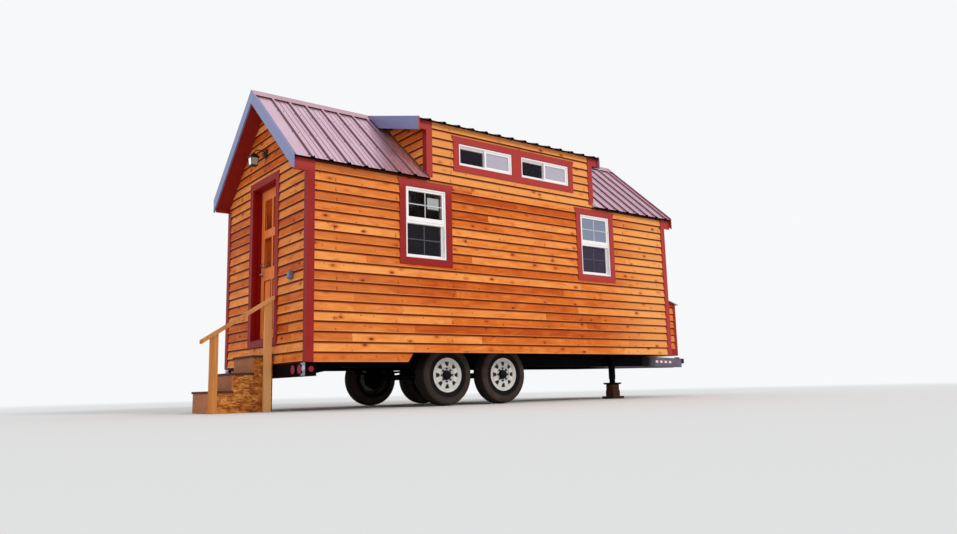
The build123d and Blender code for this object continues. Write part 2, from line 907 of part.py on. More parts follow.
with BuildPart() as front_roof_metal:
    ribbed_panels(dormer_x[1], rake_x[1], main_z, main_pitch)
save(front_roof_metal, "front_roof_metal")

with BuildPart() as dormer_roof_metal:
    ribbed_panels(dormer_rake_x[0], dormer_rake_x[1], dormer_z, dormer_pitch)
save(dormer_roof_metal, "dormer_roof_metal")

# Ridge cap: folded flashing over the tops of the sheets, flatter over the dormers
with BuildPart() as ridge_cap:
    for x_start, x_end, height, pitch in (
        (rake_x[0] - rake_trim_thickness, dormer_rake_x[0] - rake_trim_thickness, main_z, main_pitch),
        (
            dormer_rake_x[0] - rake_trim_thickness,
            dormer_rake_x[1] + rake_trim_thickness,
            dormer_z,
            dormer_pitch,
        ),
        (dormer_rake_x[1] + rake_trim_thickness, rake_x[1] + rake_trim_thickness, main_z, main_pitch),
    ):
        lift = (sheet_thickness + rib_height) / cos(pitch)
        reach = cap_leg * cos(pitch)
        with BuildSketch(Plane.YZ.offset(x_start)):
            outline(
                (-reach, height(reach, -lift)),
                (0, height(0, -lift)),
                (reach, height(reach, -lift)),
                (reach, height(reach, -lift - cap_thickness)),
                (0, height(0, -lift - cap_thickness)),
                (-reach, height(reach, -lift - cap_thickness)),
            )
        extrude(amount=x_end - x_start)
save(ridge_cap, "ridge_cap")

# Rake trim: the folded metal that closes the sloping ends of every roof
def main_rake_z(y, drop=0):
    """height of the main rake trim's upper edge, level with the rib tops"""
    return main_z(y, drop - main_build)


def dormer_rake_z(y, drop=0):
    """height of the dormer rake trim's upper edge, level with the rib tops"""
    return dormer_z(y, drop - dormer_build)


with BuildPart() as rake_trim:
    for height, faces in (
        (main_rake_z, (rake_x[0] - rake_trim_thickness, rake_x[1])),
        (dormer_rake_z, (dormer_rake_x[0] - rake_trim_thickness, dormer_rake_x[1])),
    ):
        for x in faces:
            with BuildSketch(Plane.YZ.offset(x)):
                for side in (-1, 1):
                    slope_band(side, height, metal_half, rake_face_height)
            extrude(amount=rake_trim_thickness)
    add(main_roof_space.part, mode=Mode.SUBTRACT)
save(rake_trim, "rake_trim")

# Eave returns: short boards that close the roof's overhang beyond each corner
main_return_bottom = main_z(half_width, main_drop) - main_return_lap
dormer_return_bottom = dormer_z(half_width, dormer_drop) - dormer_return_lap
with BuildPart() as eave_returns:
    for side in (-1, 1):
        face = sorted((side * half_width, side * (half_width + trim_thickness)))
        main_top = main_z(half_width + trim_thickness)
        for x_start, x_end in (
            (rake_x[0], door_x - trim_thickness + trim_width),
            (hitch_x + trim_thickness - trim_width, rake_x[1]),
        ):
            block((x_start, x_end), face, (main_return_bottom, main_top))
        dormer_top = dormer_z(half_width + trim_thickness)
        for x_start, x_end in (
            (dormer_rake_x[0], dormer_x[0] - trim_thickness + trim_width),
            (dormer_x[1] + trim_thickness - trim_width, dormer_rake_x[1]),
        ):
            block((x_start, x_end), face, (dormer_return_bottom, dormer_top))
save(eave_returns, "eave_returns")

# Corner boards: L-shaped, on the four house corners and the dormers' corners
with BuildPart() as corner_boards:
    for corner_x, inward, bottom in ((door_x, 1, rear_skirt_bottom), (hitch_x, -1, skirt_bottom)):
        for side in (-1, 1):
            out_x = corner_x - inward * trim_thickness
            out_y = side * (half_width + trim_thickness)
            with BuildSketch(Plane.XY.offset(bottom)):
                outline(
                    (out_x, out_y),
                    (out_x + inward * trim_width, out_y),
                    (out_x + inward * trim_width, side * half_width),
                    (corner_x, side * half_width),
                    (corner_x, out_y - side * trim_width),
                    (out_x, out_y - side * trim_width),
                )
            extrude(amount=main_return_bottom - bottom)
    for corner_x, inward in ((dormer_x[0], 1), (dormer_x[1], -1)):
        for side in (-1, 1):
            out_x = corner_x - inward * trim_thickness
            out_y = side * (half_width + trim_thickness)
            foot = main_z(half_width + trim_thickness)
            with BuildSketch(Plane.XY.offset(foot)):
                outline(
                    (out_x, out_y),
                    (out_x + inward * trim_width, out_y),
                    (out_x + inward * trim_width, side * half_width),
                    (corner_x, side * half_width),
                    (corner_x, out_y - side * trim_width),
                    (out_x, out_y - side * trim_width),
                )
            extrude(amount=dormer_return_bottom - foot)
    add(main_roof_space.part, mode=Mode.SUBTRACT)
    add(rear_roof_metal.part, mode=Mode.SUBTRACT)
    add(front_roof_metal.part, mode=Mode.SUBTRACT)
save(corner_boards, "corner_boards")


# Window casings: flat boards round each window, the head wider at its top
def casing(x_start, x_end, sill, head):
    """the outline of a casing round an opening, with the flared head board"""
    left = x_start - casing_reveal - trim_width
    right = x_end + casing_reveal + trim_width
    low = sill - casing_reveal - trim_width
    shoulder = head + casing_reveal
    outline(
        (left, low),
        (right, low),
        (right, shoulder),
        (right + head_flare, shoulder + trim_width),
        (left - head_flare, shoulder + trim_width),
        (left, shoulder),
    )


near_face = Plane.XZ.offset(half_width)
with BuildPart() as window_casings:
    with BuildSketch(near_face):
        for offset in sash_window_centres:
            x = door_x + offset
            casing(
                x - sash_window_width / 2,
                x + sash_window_width / 2,
                sash_window_sill,
                sash_window_sill + sash_window_height,
            )
        casing(
            door_x + slider_centres[0] - slider_width / 2,
            door_x + slider_centres[1] + slider_width / 2,
            slider_sill,
            slider_sill + slider_height,
        )
        for x, z, width, height in window_centres():
            with Locations((x, z)):
                Rectangle(width + 2 * casing_reveal, height + 2 * casing_reveal, mode=Mode.SUBTRACT)
    extrude(amount=trim_thickness)
    mirror(about=Plane.XZ)
save(window_casings, "window_casings")


# Window frames: a rim set in the wall and two sashes set back in it, side by
# side in a slider and one above the other in a sash window. The lower sash, or
# the slider's left one, runs behind the other.
def pane_centres(x, z, width, height):
    """each pane of a window as (centre x, centre z, width, height)"""
    bar = window_rim + sash_rim
    if width > height:
        pane_width = (width - 2 * bar - sash_rim) / 2
        for sign in (-1, 1):
            yield x + sign * (pane_width + sash_rim) / 2, z, pane_width, height - 2 * bar
    else:
        pane_height = (height - 2 * bar - sash_rim) / 2
        for sign in (-1, 1):
            yield x, z + sign * (pane_height + sash_rim) / 2, width - 2 * bar, pane_height


sash_fronts = (window_proud - sash_setback - sash_depth, window_proud - sash_setback)
with BuildPart() as near_window_frames:
    with BuildSketch(near_face.offset(window_proud)):
        for x, z, width, height in window_centres():
            with Locations((x, z)):
                Rectangle(width, height)
                Rectangle(width - 2 * window_rim, height - 2 * window_rim, mode=Mode.SUBTRACT)
    extrude(amount=-window_depth)
    for index, sash_front in enumerate(sash_fronts):
        with BuildSketch(near_face.offset(sash_front)):
            for window in window_centres():
                pane_x, pane_z, pane_width, pane_height = list(pane_centres(*window))[index]
                with Locations((pane_x, pane_z)):
                    Rectangle(pane_width + 2 * sash_rim, pane_height + 2 * sash_rim)
                    Rectangle(pane_width, pane_height, mode=Mode.SUBTRACT)
        extrude(amount=-sash_depth)
save(near_window_frames, "near_window_frames")

with BuildPart() as far_window_frames:
    mirror(near_window_frames.part, about=Plane.XZ)
save(far_window_frames, "far_window_frames")

with BuildPart() as near_window_glass:
    for index, sash_front in enumerate(sash_fronts):
        with BuildSketch(near_face.offset(sash_front - sash_setback)):
            for window in window_centres():
                pane_x, pane_z, pane_width, pane_height = list(pane_centres(*window))[index]
                with Locations((pane_x, pane_z)):
                    Rectangle(pane_width - 2 * fit_gap, pane_height - 2 * fit_gap)
        extrude(amount=-glass_thickness)
save(near_window_glass, "near_window_glass")

with BuildPart() as far_window_glass:
    mirror(near_window_glass.part, about=Plane.XZ)
save(far_window_glass, "far_window_glass")

# Door frame: jambs and head as deep as the wall, with stops on the outside,
# and a threshold. The leaf closes against the stops from inside.
leaf_x = (door_x + wall_thickness - leaf_thickness, door_x + wall_thickness)
leaf_bottom = floor_level + threshold_thickness + door_gap
leaf_top = door_head - door_gap
with BuildPart() as door_frame:
    with BuildSketch(Plane.YZ.offset(door_x)):
        outline(
            (-rough_half + fit_gap, floor_level),
            (rough_half - fit_gap, floor_level),
            (rough_half - fit_gap, rough_head - fit_gap),
            (-rough_half + fit_gap, rough_head - fit_gap),
        )
        outline_height = door_head - floor_level - threshold_thickness
        with Locations((0, floor_level + threshold_thickness + outline_height / 2)):
            Rectangle(2 * jamb_half, outline_height, mode=Mode.SUBTRACT)
    extrude(amount=wall_thickness)
    with BuildSketch(Plane.YZ.offset(leaf_x[0] - door_gap - stop_length)):
        with Locations((0, floor_level + threshold_thickness + outline_height / 2)):
            Rectangle(2 * jamb_half, outline_height)
        opening_height = outline_height - stop_depth
        with Locations((0, floor_level + threshold_thickness + opening_height / 2)):
            Rectangle(2 * (jamb_half - stop_depth), opening_height, mode=Mode.SUBTRACT)
    extrude(amount=stop_length)
save(door_frame, "door_frame")

casing_half = jamb_half + door_casing_reveal
casing_head = door_head + door_casing_reveal
with BuildPart() as door_casing:
    with BuildSketch(Plane.YZ.offset(door_x)):
        outline(
            (-casing_half - trim_width, floor_level - sill_board),
            (casing_half + trim_width, floor_level - sill_board),
            (casing_half + trim_width, casing_head + trim_width),
            (-casing_half - trim_width, casing_head + trim_width),
        )
        inner_height = casing_head - floor_level
        with Locations((0, floor_level + inner_height / 2)):
            Rectangle(2 * casing_half, inner_height, mode=Mode.SUBTRACT)
    extrude(amount=-trim_thickness)
save(door_casing, "door_casing")

# Door leaf: stiles, rails and a mullion round four lights and two tall panels
light_width = (leaf_width - 2 * stile_width - mullion_width) / 2
panel_height = leaf_top - leaf_bottom - top_rail - 2 * light_height - light_rail - lock_rail - bottom_rail
light_rows = (
    leaf_top - top_rail - light_height / 2,
    leaf_top - top_rail - light_height - light_rail - light_height / 2,
)
column_centres = (
    -(mullion_width + light_width) / 2,
    (mullion_width + light_width) / 2,
)
panel_centre = leaf_bottom + bottom_rail + panel_height / 2
with BuildPart() as door_leaf:
    with BuildSketch(Plane.YZ.offset(leaf_x[0])):
        with Locations((0, (leaf_bottom + leaf_top) / 2)):
            Rectangle(leaf_width, leaf_top - leaf_bottom)
        for y in column_centres:
            for z in light_rows:
                with Locations((y, z)):
                    Rectangle(light_width, light_height, mode=Mode.SUBTRACT)
    extrude(amount=leaf_thickness)
    for face_x, direction in ((leaf_x[0], 1), (leaf_x[1], -1)):
        with BuildSketch(Plane.YZ.offset(face_x)):
            for y in column_centres:
                with Locations((y, panel_centre)):
                    Rectangle(light_width, panel_height)
                    Rectangle(
                        light_width - 2 * panel_bevel,
                        panel_height - 2 * panel_bevel,
                        mode=Mode.SUBTRACT,
                    )
        extrude(amount=direction * panel_recess, mode=Mode.SUBTRACT)
save(door_leaf, "door_leaf")

with BuildPart() as door_glass:
    with BuildSketch(Plane.YZ.offset((leaf_x[0] + leaf_x[1] - glass_thickness) / 2)):
        for y in column_centres:
            for z in light_rows:
                with Locations((y, z)):
                    Rectangle(light_width - 2 * fit_gap, light_height - 2 * fit_gap)
    extrude(amount=glass_thickness)
save(door_glass, "door_glass")

# Hinges on the near jamb: the frame's half has the outer knuckles, the
# door's half the middle one and the pin
hinge_x = leaf_x[1] + hinge_radius
hinge_y = -jamb_half + door_gap / 2
hinge_levels = (leaf_bottom + hinge_from_end, (leaf_bottom + leaf_top) / 2, leaf_top - hinge_from_end)
knuckle = hinge_height / 3
with BuildPart() as frame_hinges:
    for z in hinge_levels:
        with Locations((hinge_x, hinge_y, z - knuckle), (hinge_x, hinge_y, z + knuckle)):
            Cylinder(hinge_radius, knuckle - 2 * fit_gap)
            Cylinder(hinge_pin_radius + fit_gap, knuckle, mode=Mode.SUBTRACT)
        for sign in (-1, 1):
            with BuildSketch(Plane.XY.offset(z + sign * knuckle - knuckle / 2 + fit_gap)):
                outline(
                    (hinge_x - hinge_radius, hinge_y - hinge_plate_width),
                    (hinge_x - hinge_radius + hinge_plate, hinge_y - hinge_plate_width),
                    (hinge_x - hinge_radius + hinge_plate, hinge_y - hinge_radius + hinge_plate_lap),
                    (hinge_x - hinge_radius, hinge_y - hinge_radius + hinge_plate_lap),
                )
            extrude(amount=knuckle - 2 * fit_gap)
save(frame_hinges, "frame_hinges")

handle_z = leaf_bottom + handle_height
bolt_z = handle_z + bolt_above_handle
lock_y = leaf_width / 2 - handle_backset
rose_radius = 32
rose_thickness = 10
rose_taper = 12
neck_radius = 11
bolt_knob_radius = 17
handle_standoff = 30
lever_offset = 42
lever_length = 116
lever_width = 20
lever_thickness = 14
with BuildPart() as door_hardware:
    for z in hinge_levels:
        with Locations((hinge_x, hinge_y, z)):
            Cylinder(hinge_radius, knuckle - 2 * fit_gap)
            Cylinder(hinge_pin_radius, hinge_height)
        with BuildSketch(Plane.XY.offset(z - knuckle / 2 + fit_gap)):
            outline(
                (hinge_x - hinge_radius, hinge_y + hinge_plate_width),
                (hinge_x - hinge_radius + hinge_plate, hinge_y + hinge_plate_width),
                (hinge_x - hinge_radius + hinge_plate, hinge_y + hinge_radius - hinge_plate_lap),
                (hinge_x - hinge_radius, hinge_y + hinge_radius - hinge_plate_lap),
            )
        extrude(amount=knuckle - 2 * fit_gap)
    for face_x, direction in ((leaf_x[0], -1), (leaf_x[1], 1)):
        with BuildSketch(Plane.YZ.offset(face_x)):
            with Locations((lock_y, handle_z), (lock_y, bolt_z)):
                Circle(rose_radius)
        extrude(amount=direction * rose_thickness, taper=rose_taper)
        with BuildSketch(Plane.YZ.offset(face_x)):
            with Locations((lock_y, handle_z)):
                Circle(neck_radius)
            with Locations((lock_y, bolt_z)):
                Circle(bolt_knob_radius)
        extrude(amount=direction * handle_standoff)
        with BuildSketch(Plane.YZ.offset(face_x + direction * handle_standoff)):
            with Locations((lock_y - lever_offset, handle_z)):
                SlotOverall(lever_length, lever_width)
        extrude(amount=direction * lever_thickness)
save(door_hardware, "door_hardware")

# Wall lantern over the door: a round base, an arched arm with a scroll under
# it, and a tapered cage hanging from a small hipped cap
lantern_y = -17
lantern_z = 3206
lantern_reach = 176
lantern_base_radius = 60
lantern_base_thickness = 12
arm_thickness = 12
arm_rise = 26
scroll_radius = 21
arm_lap = 1
scroll_lap = 2
cage_top = 3128
cage_height = 106
cage_half = 50
cage_foot_half = 41
cap_half = 57
cap_edge = 10
cap_height = 52
cap_top_half = 10
finial_radius = 9
cage_x = door_x - lantern_reach
base_x = door_x - siding_thickness - lantern_base_thickness
with BuildPart() as porch_lantern:
    with BuildSketch(Plane.YZ.offset(door_x)):
        with Locations((lantern_y, lantern_z)):
            Circle(lantern_base_radius)
    extrude(amount=-siding_thickness - lantern_base_thickness)
    with BuildSketch(Plane.XZ.offset(-lantern_y - arm_thickness / 2)):
        cap_top = cage_top + cap_edge + cap_height
        with BuildLine() as arm_edge:
            low = ThreePointArc(
                (base_x + arm_lap, lantern_z),
                ((base_x + cage_x) / 2, lantern_z + arm_rise),
                (cage_x, cap_top - arm_thickness),
            )
            high = ThreePointArc(
                (base_x + arm_lap, lantern_z + arm_thickness),
                ((base_x + cage_x) / 2, lantern_z + arm_rise + arm_thickness),
                (cage_x, cap_top),
            )
            Line(low @ 0, high @ 0)
            Line(low @ 1, high @ 1)
        make_face(arm_edge.edges())
        with Locations((base_x - scroll_radius + scroll_lap, lantern_z - scroll_radius)):
            Circle(scroll_radius)
            Circle(scroll_radius - arm_thickness / 2, mode=Mode.SUBTRACT)
    extrude(amount=arm_thickness)
    with BuildSketch(Plane.XY.offset(cage_top)):
        with Locations((cage_x, lantern_y)):
            Rectangle(2 * cap_half, 2 * cap_half)
    extrude(amount=cap_edge)
    with BuildSketch(Plane.XY.offset(cage_top + cap_edge)):
        with Locations((cage_x, lantern_y)):
            Rectangle(2 * cap_half, 2 * cap_half)
    with BuildSketch(Plane.XY.offset(cap_top)):
        with Locations((cage_x, lantern_y)):
            Rectangle(2 * cap_top_half, 2 * cap_top_half)
    loft()
    with Locations((cage_x, lantern_y, cap_top + finial_radius / 2)):
        Sphere(finial_radius)
    with BuildSketch(Plane.XY.offset(cage_top)):
        with Locations((cage_x, lantern_y)):
            Rectangle(2 * cage_half, 2 * cage_half)
    with BuildSketch(Plane.XY.offset(cage_top - cage_height)):
        with Locations((cage_x, lantern_y)):
            Rectangle(2 * cage_foot_half, 2 * cage_foot_half)
    loft()
save(porch_lantern, "porch_lantern")

# Weatherproof outlet box beside the door
outlet_y = -845
outlet_z = 1545
outlet_width = 80
outlet_height = 124
outlet_depth = 45
outlet_corner = 12
outlet_taper = 4
with BuildPart() as outlet_box:
    with BuildSketch(Plane.YZ.offset(door_x)):
        with Locations((outlet_y, outlet_z)):
            RectangleRounded(outlet_width, outlet_height, outlet_corner)
    extrude(amount=-siding_thickness - outlet_depth, taper=outlet_taper)
save(outlet_box, "outlet_box")

# Utility box on the tongue, its roof falling away from the wall
box_front_x = hitch_x + box_depth
box_half = box_width / 2
with BuildPart() as utility_box:
    with BuildSketch(Plane.XZ.offset(-box_half)):
        outline(
            (hitch_x, beam_top),
            (box_front_x, beam_top),
            (box_front_x, box_front_height),
            (hitch_x, box_back_height),
        )
    extrude(amount=box_width)
save(utility_box, "utility_box")

box_slope = (box_back_height - box_front_height) / box_depth
with BuildPart() as utility_box_roof:
    with BuildSketch(Plane.XZ.offset(-box_half - box_trim_thickness - box_roof_overhang)):
        reach_x = box_front_x + box_trim_thickness + box_roof_overhang
        reach_z = box_back_height - box_slope * (reach_x - hitch_x)
        outline(
            (hitch_x, box_back_height),
            (reach_x, reach_z),
            (reach_x, reach_z + box_roof_thickness),
            (hitch_x, box_back_height + box_roof_thickness),
        )
    extrude(amount=box_width + 2 * (box_trim_thickness + box_roof_overhang))
save(utility_box_roof, "utility_box_roof")

with BuildPart() as utility_box_trim:
    with BuildSketch(Plane.XY.offset(beam_top)):
        with Locations((hitch_x + (box_depth + box_trim_thickness) / 2, 0)):
            Rectangle(box_depth + box_trim_thickness, box_width + 2 * box_trim_thickness)
        with Locations((hitch_x + box_depth / 2, 0)):
            Rectangle(box_depth, box_width, mode=Mode.SUBTRACT)
    extrude(amount=box_base_trim)
    for side in (-1, 1):
        out_x = box_front_x + box_trim_thickness
        out_y = side * (box_half + box_trim_thickness)
        with BuildSketch(Plane.XY.offset(beam_top)):
            outline(
                (out_x, out_y),
                (out_x - box_trim_width, out_y),
                (out_x - box_trim_width, side * box_half),
                (box_front_x, side * box_half),
                (box_front_x, out_y - side * box_trim_width),
                (out_x, out_y - side * box_trim_width),
            )
        extrude(amount=box_back_height - beam_top)
    with BuildSketch(Plane.XZ.offset(-box_half - box_trim_thickness)):
        outline(
            (hitch_x, box_back_height),
            (out_x, box_back_height - box_slope * (out_x - hitch_x)),
            (out_x, box_back_height - box_slope * (out_x - hitch_x) - box_trim_width),
            (hitch_x, box_back_height - box_trim_width),
        )
    extrude(amount=box_width + 2 * box_trim_thickness)
    block((hitch_x, box_front_x), (-box_half, box_half), (beam_top, box_back_height), mode=Mode.SUBTRACT)
    with BuildSketch(Plane.XZ.offset(-house_width)):
        outline(
            (hitch_x, box_back_height),
            (out_x + trim_width, box_back_height - box_slope * (out_x + trim_width - hitch_x)),
            (out_x + trim_width, ridge_height),
            (hitch_x, ridge_height),
        )
    extrude(amount=2 * house_width, mode=Mode.SUBTRACT)
save(utility_box_trim, "utility_box_trim")

# Stair: board treads and risers between two panels, standing on the ground
stair_back = bumper_x - fit_gap
stair_front = [stair_back - (tread_count - index) * tread_run for index in range(tread_count)]
tread_tops = [first_rise + index * tread_rise for index in range(tread_count)]
stair_side = (stair_offset - stair_width / 2, stair_offset + stair_width / 2)
with BuildPart() as stair_treads:
    for index in range(tread_count):
        end_x = stair_front[index] + tread_run if index < tread_count - 1 else stair_back
        block(
            (stair_front[index] - tread_nosing, end_x),
            (stair_side[0] - tread_side_overhang, stair_side[1] + tread_side_overhang),
            (tread_tops[index] - tread_thickness, tread_tops[index]),
        )
save(stair_treads, "stair_treads")

with BuildPart() as stair_risers:
    for index in range(tread_count):
        low = 0 if index == 0 else tread_tops[index - 1]
        block(
            (stair_front[index], stair_front[index] + riser_thickness),
            stair_side,
            (low, tread_tops[index] - tread_thickness),
        )
save(stair_risers, "stair_risers")

with BuildPart() as stair_sides:
    corners = [(stair_back, 0), (stair_front[0] + riser_thickness, 0)]
    for index in range(tread_count):
        corners.append((stair_front[index] + riser_thickness, tread_tops[index] - tread_thickness))
        if index < tread_count - 1:
            corners.append((stair_front[index + 1] + riser_thickness, tread_tops[index] - tread_thickness))
    corners.append((stair_back, tread_tops[-1] - tread_thickness))
    for y in (stair_side[0], stair_side[1] - stair_panel_thickness):
        with BuildSketch(Plane.XZ.offset(-y)):
            outline(*corners)
        extrude(amount=-stair_panel_thickness)
save(stair_sides, "stair_sides")


# Handrail: two posts against the near panel under one sloping board
def rail_top(distance):
    """height of the rail's upper face at a distance in front of the sheathing"""
    return rail_height_at_wall - rail_slope * (distance - siding_thickness)


rail_drop = post_thickness * sqrt(1 + rail_slope**2)
rail_centre_y = stair_side[0] - tread_side_overhang - post_thickness / 2
with BuildPart() as handrail:
    for distance in post_distances:
        post_x = door_x - distance
        with BuildSketch(Plane.XZ.offset(-rail_centre_y - post_thickness / 2)):
            outline(
                (post_x - post_width / 2, 0),
                (post_x + post_width / 2, 0),
                (post_x + post_width / 2, rail_top(distance - post_width / 2) - rail_drop),
                (post_x - post_width / 2, rail_top(distance + post_width / 2) - rail_drop),
            )
        extrude(amount=post_thickness)
    with BuildSketch(Plane.XZ.offset(-rail_centre_y - post_width / 2)):
        outline(
            (door_x - rail_wall_gap, rail_top(rail_wall_gap) - rail_drop),
            (door_x - rail_wall_gap, rail_top(rail_wall_gap)),
            (door_x - stair_reach, rail_top(stair_reach)),
            (door_x - stair_reach, rail_top(stair_reach) - rail_drop),
        )
    extrude(amount=post_width)
save(handrail, "handrail")
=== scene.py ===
import math
from functools import cached_property

import bpy
import numpy as np
from mathutils import Matrix, Vector


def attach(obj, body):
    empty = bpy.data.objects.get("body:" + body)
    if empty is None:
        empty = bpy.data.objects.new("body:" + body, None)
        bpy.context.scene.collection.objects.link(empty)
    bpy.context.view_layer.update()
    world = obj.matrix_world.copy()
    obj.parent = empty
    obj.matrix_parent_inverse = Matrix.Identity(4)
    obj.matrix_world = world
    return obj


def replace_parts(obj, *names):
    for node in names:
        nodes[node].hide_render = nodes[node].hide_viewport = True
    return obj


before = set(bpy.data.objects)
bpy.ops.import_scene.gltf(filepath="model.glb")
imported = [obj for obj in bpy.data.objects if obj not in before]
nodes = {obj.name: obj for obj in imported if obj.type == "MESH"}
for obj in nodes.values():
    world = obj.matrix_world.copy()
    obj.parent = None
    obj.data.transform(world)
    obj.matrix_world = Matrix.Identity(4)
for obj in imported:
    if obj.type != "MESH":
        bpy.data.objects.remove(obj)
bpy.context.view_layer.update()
print("frame loaded:", len(nodes), "solids' nodes")


# several of a dictionary's values, in the order of their names
def pick(values, names):
    return [values[name] for name in names.split()]


# The house in metres, in the frame's own axes: X towards the hitch, -Y the side
# with the handrail, Z up from the ground.
house = {
    "doorX": -3.604, "hitchX": 2.551, "halfWidth": 1.24, "metalHalf": 1.3, "ridge": 3.988,
    "rearSkirt": 0.539, "frontSkirt": 0.652, "stepX": -2.316, "stepRun": 0.086,
    "eave": 2.828, "dormerEave": 3.593, "deck": 0.12, "metalHeight": 0.022,
    "rakeX": (-3.806, 2.711), "dormerX": (-1.993, 0.941), "dormerRakeX": (-2.138, 1.086),
    "trim": 0.025, "trimWidth": 0.089, "returnFoot": 2.6787, "dormerReturnFoot": 3.4698,
    "doorway": (-0.4555, 0.4555, 0.772, 2.89),
}
doorX, hitchX, halfWidth, metalHalf, ridge = pick(house, "doorX hitchX halfWidth metalHalf ridge")
rearSkirt, frontSkirt, trimWidth = pick(house, "rearSkirt frontSkirt trimWidth")
mainSlope = (ridge - house["eave"]) / metalHalf
dormerSlope = (ridge - house["dormerEave"]) / metalHalf
bothSides = (("near", -1), ("far", 1))


# A roof plane's height at a distance y from the ridge: ridge - slope * |y|,
# less a depth measured square to the plane.
def roofZ(y, slope=mainSlope, depth=0.0):
    return ridge - slope * abs(y) - depth * math.sqrt(1 + slope**2)


def operator(operation, reflected=False):
    def apply(self, other):
        return self.finish.maths(operation, *((other, self) if reflected else (self, other)))
    return apply


# Shader values: each operator on a Wire adds one Math node to its finish.
class Wire:
    def __init__(self, finish, socket):
        self.finish, self.socket = finish, socket

    def __abs__(self):
        return self.finish.maths("ABSOLUTE", self)

    __add__ = __radd__ = operator("ADD")
    __mul__ = __rmul__ = operator("MULTIPLY")
    __sub__, __rsub__ = operator("SUBTRACT"), operator("SUBTRACT", True)
    __truediv__, __rtruediv__ = operator("DIVIDE"), operator("DIVIDE", True)


socketNames = {
    "coat": "Coat Weight", "coatRough": "Coat Roughness", "metal": "Metallic", "alpha": "Alpha",
    "specular": "Specular IOR Level", "glow": "Emission Color", "glowStrength": "Emission Strength",
}


# One material and the nodes it is built from.
class Finish:
    def __init__(self, name, tree=None):
        if tree is None:
            self.material = bpy.data.materials.new(name)
            self.material.use_nodes = True
        self.tree = tree or self.material.node_tree
        self.tree.nodes.clear()

    # any node: its settings and stops first, then its sockets' values or links
    def node(self, kind, inputs=None, output=0, stops=(), **settings):
        made = self.tree.nodes.new("ShaderNode" + kind)
        for key, value in settings.items():
            setattr(made, key, value)
        if stops:
            elements = made.color_ramp.elements
            while len(elements) < len(stops):
                elements.new(1.0)
            for element, (place, colour) in zip(elements, stops):
                element.position, element.color = place, (*colour, 1)
        for key, value in (inputs or {}).items():
            socket = made.inputs[key]
            if isinstance(value, Wire):
                self.tree.links.new(value.socket, socket)
            else:
                socket.default_value = (*value, 1) if socket.type == "RGBA" else value
        return Wire(self, made.outputs[output]) if made.outputs else None

    def maths(self, operation, *values):
        return self.node("Math", dict(enumerate(values)), operation=operation)

    def most(self, first, second):
        return self.maths("MAXIMUM", first, second)

    # 0 below low, 1 above high, with a smooth step between
    def fade(self, value, low, high):
        return self.node("MapRange", {0: value, 1: low, 2: high}, interpolation_type="SMOOTHSTEP")

    def mix(self, factor, first, second):
        return self.node("Mix", {0: factor, 6: first, 7: second}, 2, data_type="RGBA")

    def ramp(self, factor, *stops):
        return self.node("ValToRGB", {0: factor}, stops=stops)

    # the point on the surface in the piece's own coordinates, and one of its axes
    @cached_property
    def place(self):
        return self.node("TexCoord", output=3)

    def at(self, index):
        return self.axis(self.place, index)

    def axis(self, vector, index):
        return self.node("SeparateXYZ", {0: vector}, index)

    def stretch(self, vector, scale, shift=(0, 0, 0), turn=(0, 0, 0)):
        return self.node("Mapping", {"Vector": vector, "Scale": scale, "Location": shift, "Rotation": turn})

    # the scale is one number, or three along the axes
    def noise(self, scale, detail=3.0, rough=0.5, warp=0.0, over=None):
        over = over or self.place
        if not isinstance(scale, (int, float)):
            over, scale = self.stretch(over, scale), 1.0
        sockets = {"Vector": over, "Scale": scale, "Detail": detail, "Roughness": rough, "Distortion": warp}
        return self.node("TexNoise", sockets)

    def cells(self, vector, feature="F1"):
        return self.node("TexVoronoi", {"Vector": vector, "Scale": 1.0}, feature=feature)

    # one random number to a cell
    def lot(self, vector, index=0):
        return self.axis(self.node("TexVoronoi", {"Vector": vector, "Scale": 1.0}, 1), index)

    def attribute(self, name):
        return self.node("Attribute", None, 2, attribute_name=name)

    # the surface itself, with an optional height for its relief, in metres
    def surface(self, colour, rough, height=None, relief=0.001, **others):
        sockets = {"Base Color": colour, "Roughness": rough}
        for key, value in others.items():
            sockets[socketNames[key]] = value
        if height is not None:
            sockets["Normal"] = self.node("Bump", {"Strength": 1.0, "Distance": relief, "Height": height})
        return self.close(self.node("BsdfPrincipled", sockets))

    def close(self, shader):
        self.node("OutputMaterial", {0: shader})
        return self.material


def linked(name, data):
    made = bpy.data.objects.new(name, data)
    bpy.context.scene.collection.objects.link(made)
    return made


# A piece from points and faces of any corner counts, one array per count.
def makePiece(name, points, faces, material, slot, body="root", smooth=False, maps=None, values=None,
              parts=None):
    mesh = bpy.data.meshes.new(name)
    corners = np.concatenate([f.ravel() for f in faces]).astype(np.int32)
    counts = np.concatenate([np.full(len(f), f.shape[1]) for f in faces])
    starts = np.concatenate([[0], np.cumsum(counts)[:-1]]).astype(np.int32)
    mesh.vertices.add(points.size // 3)
    mesh.vertices.foreach_set("co", np.ascontiguousarray(points, np.float32).ravel())
    mesh.loops.add(len(corners))
    mesh.loops.foreach_set("vertex_index", corners)
    mesh.polygons.add(len(counts))
    mesh.polygons.foreach_set("loop_start", starts)
    if parts is not None:
        mesh.polygons.foreach_set("material_index", np.asarray(parts, np.int32))
    mesh.update(calc_edges=True)
    if maps is not None:
        layer = mesh.uv_layers.new(name="grain")
        layer.data.foreach_set("uv", np.ascontiguousarray(maps[corners], np.float32).ravel())
    for key, data in (values or {}).items():
        data = np.ascontiguousarray(data, np.float32).ravel()
        mesh.attributes.new(key, "FLOAT", "POINT").data.foreach_set("value", data)
    mesh.polygons.foreach_set("use_smooth", np.full(len(counts), smooth))
    for one in material if isinstance(material, list) else [material]:
        mesh.materials.append(one)
    piece = linked(name, mesh)
    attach(piece, body)
    return piece


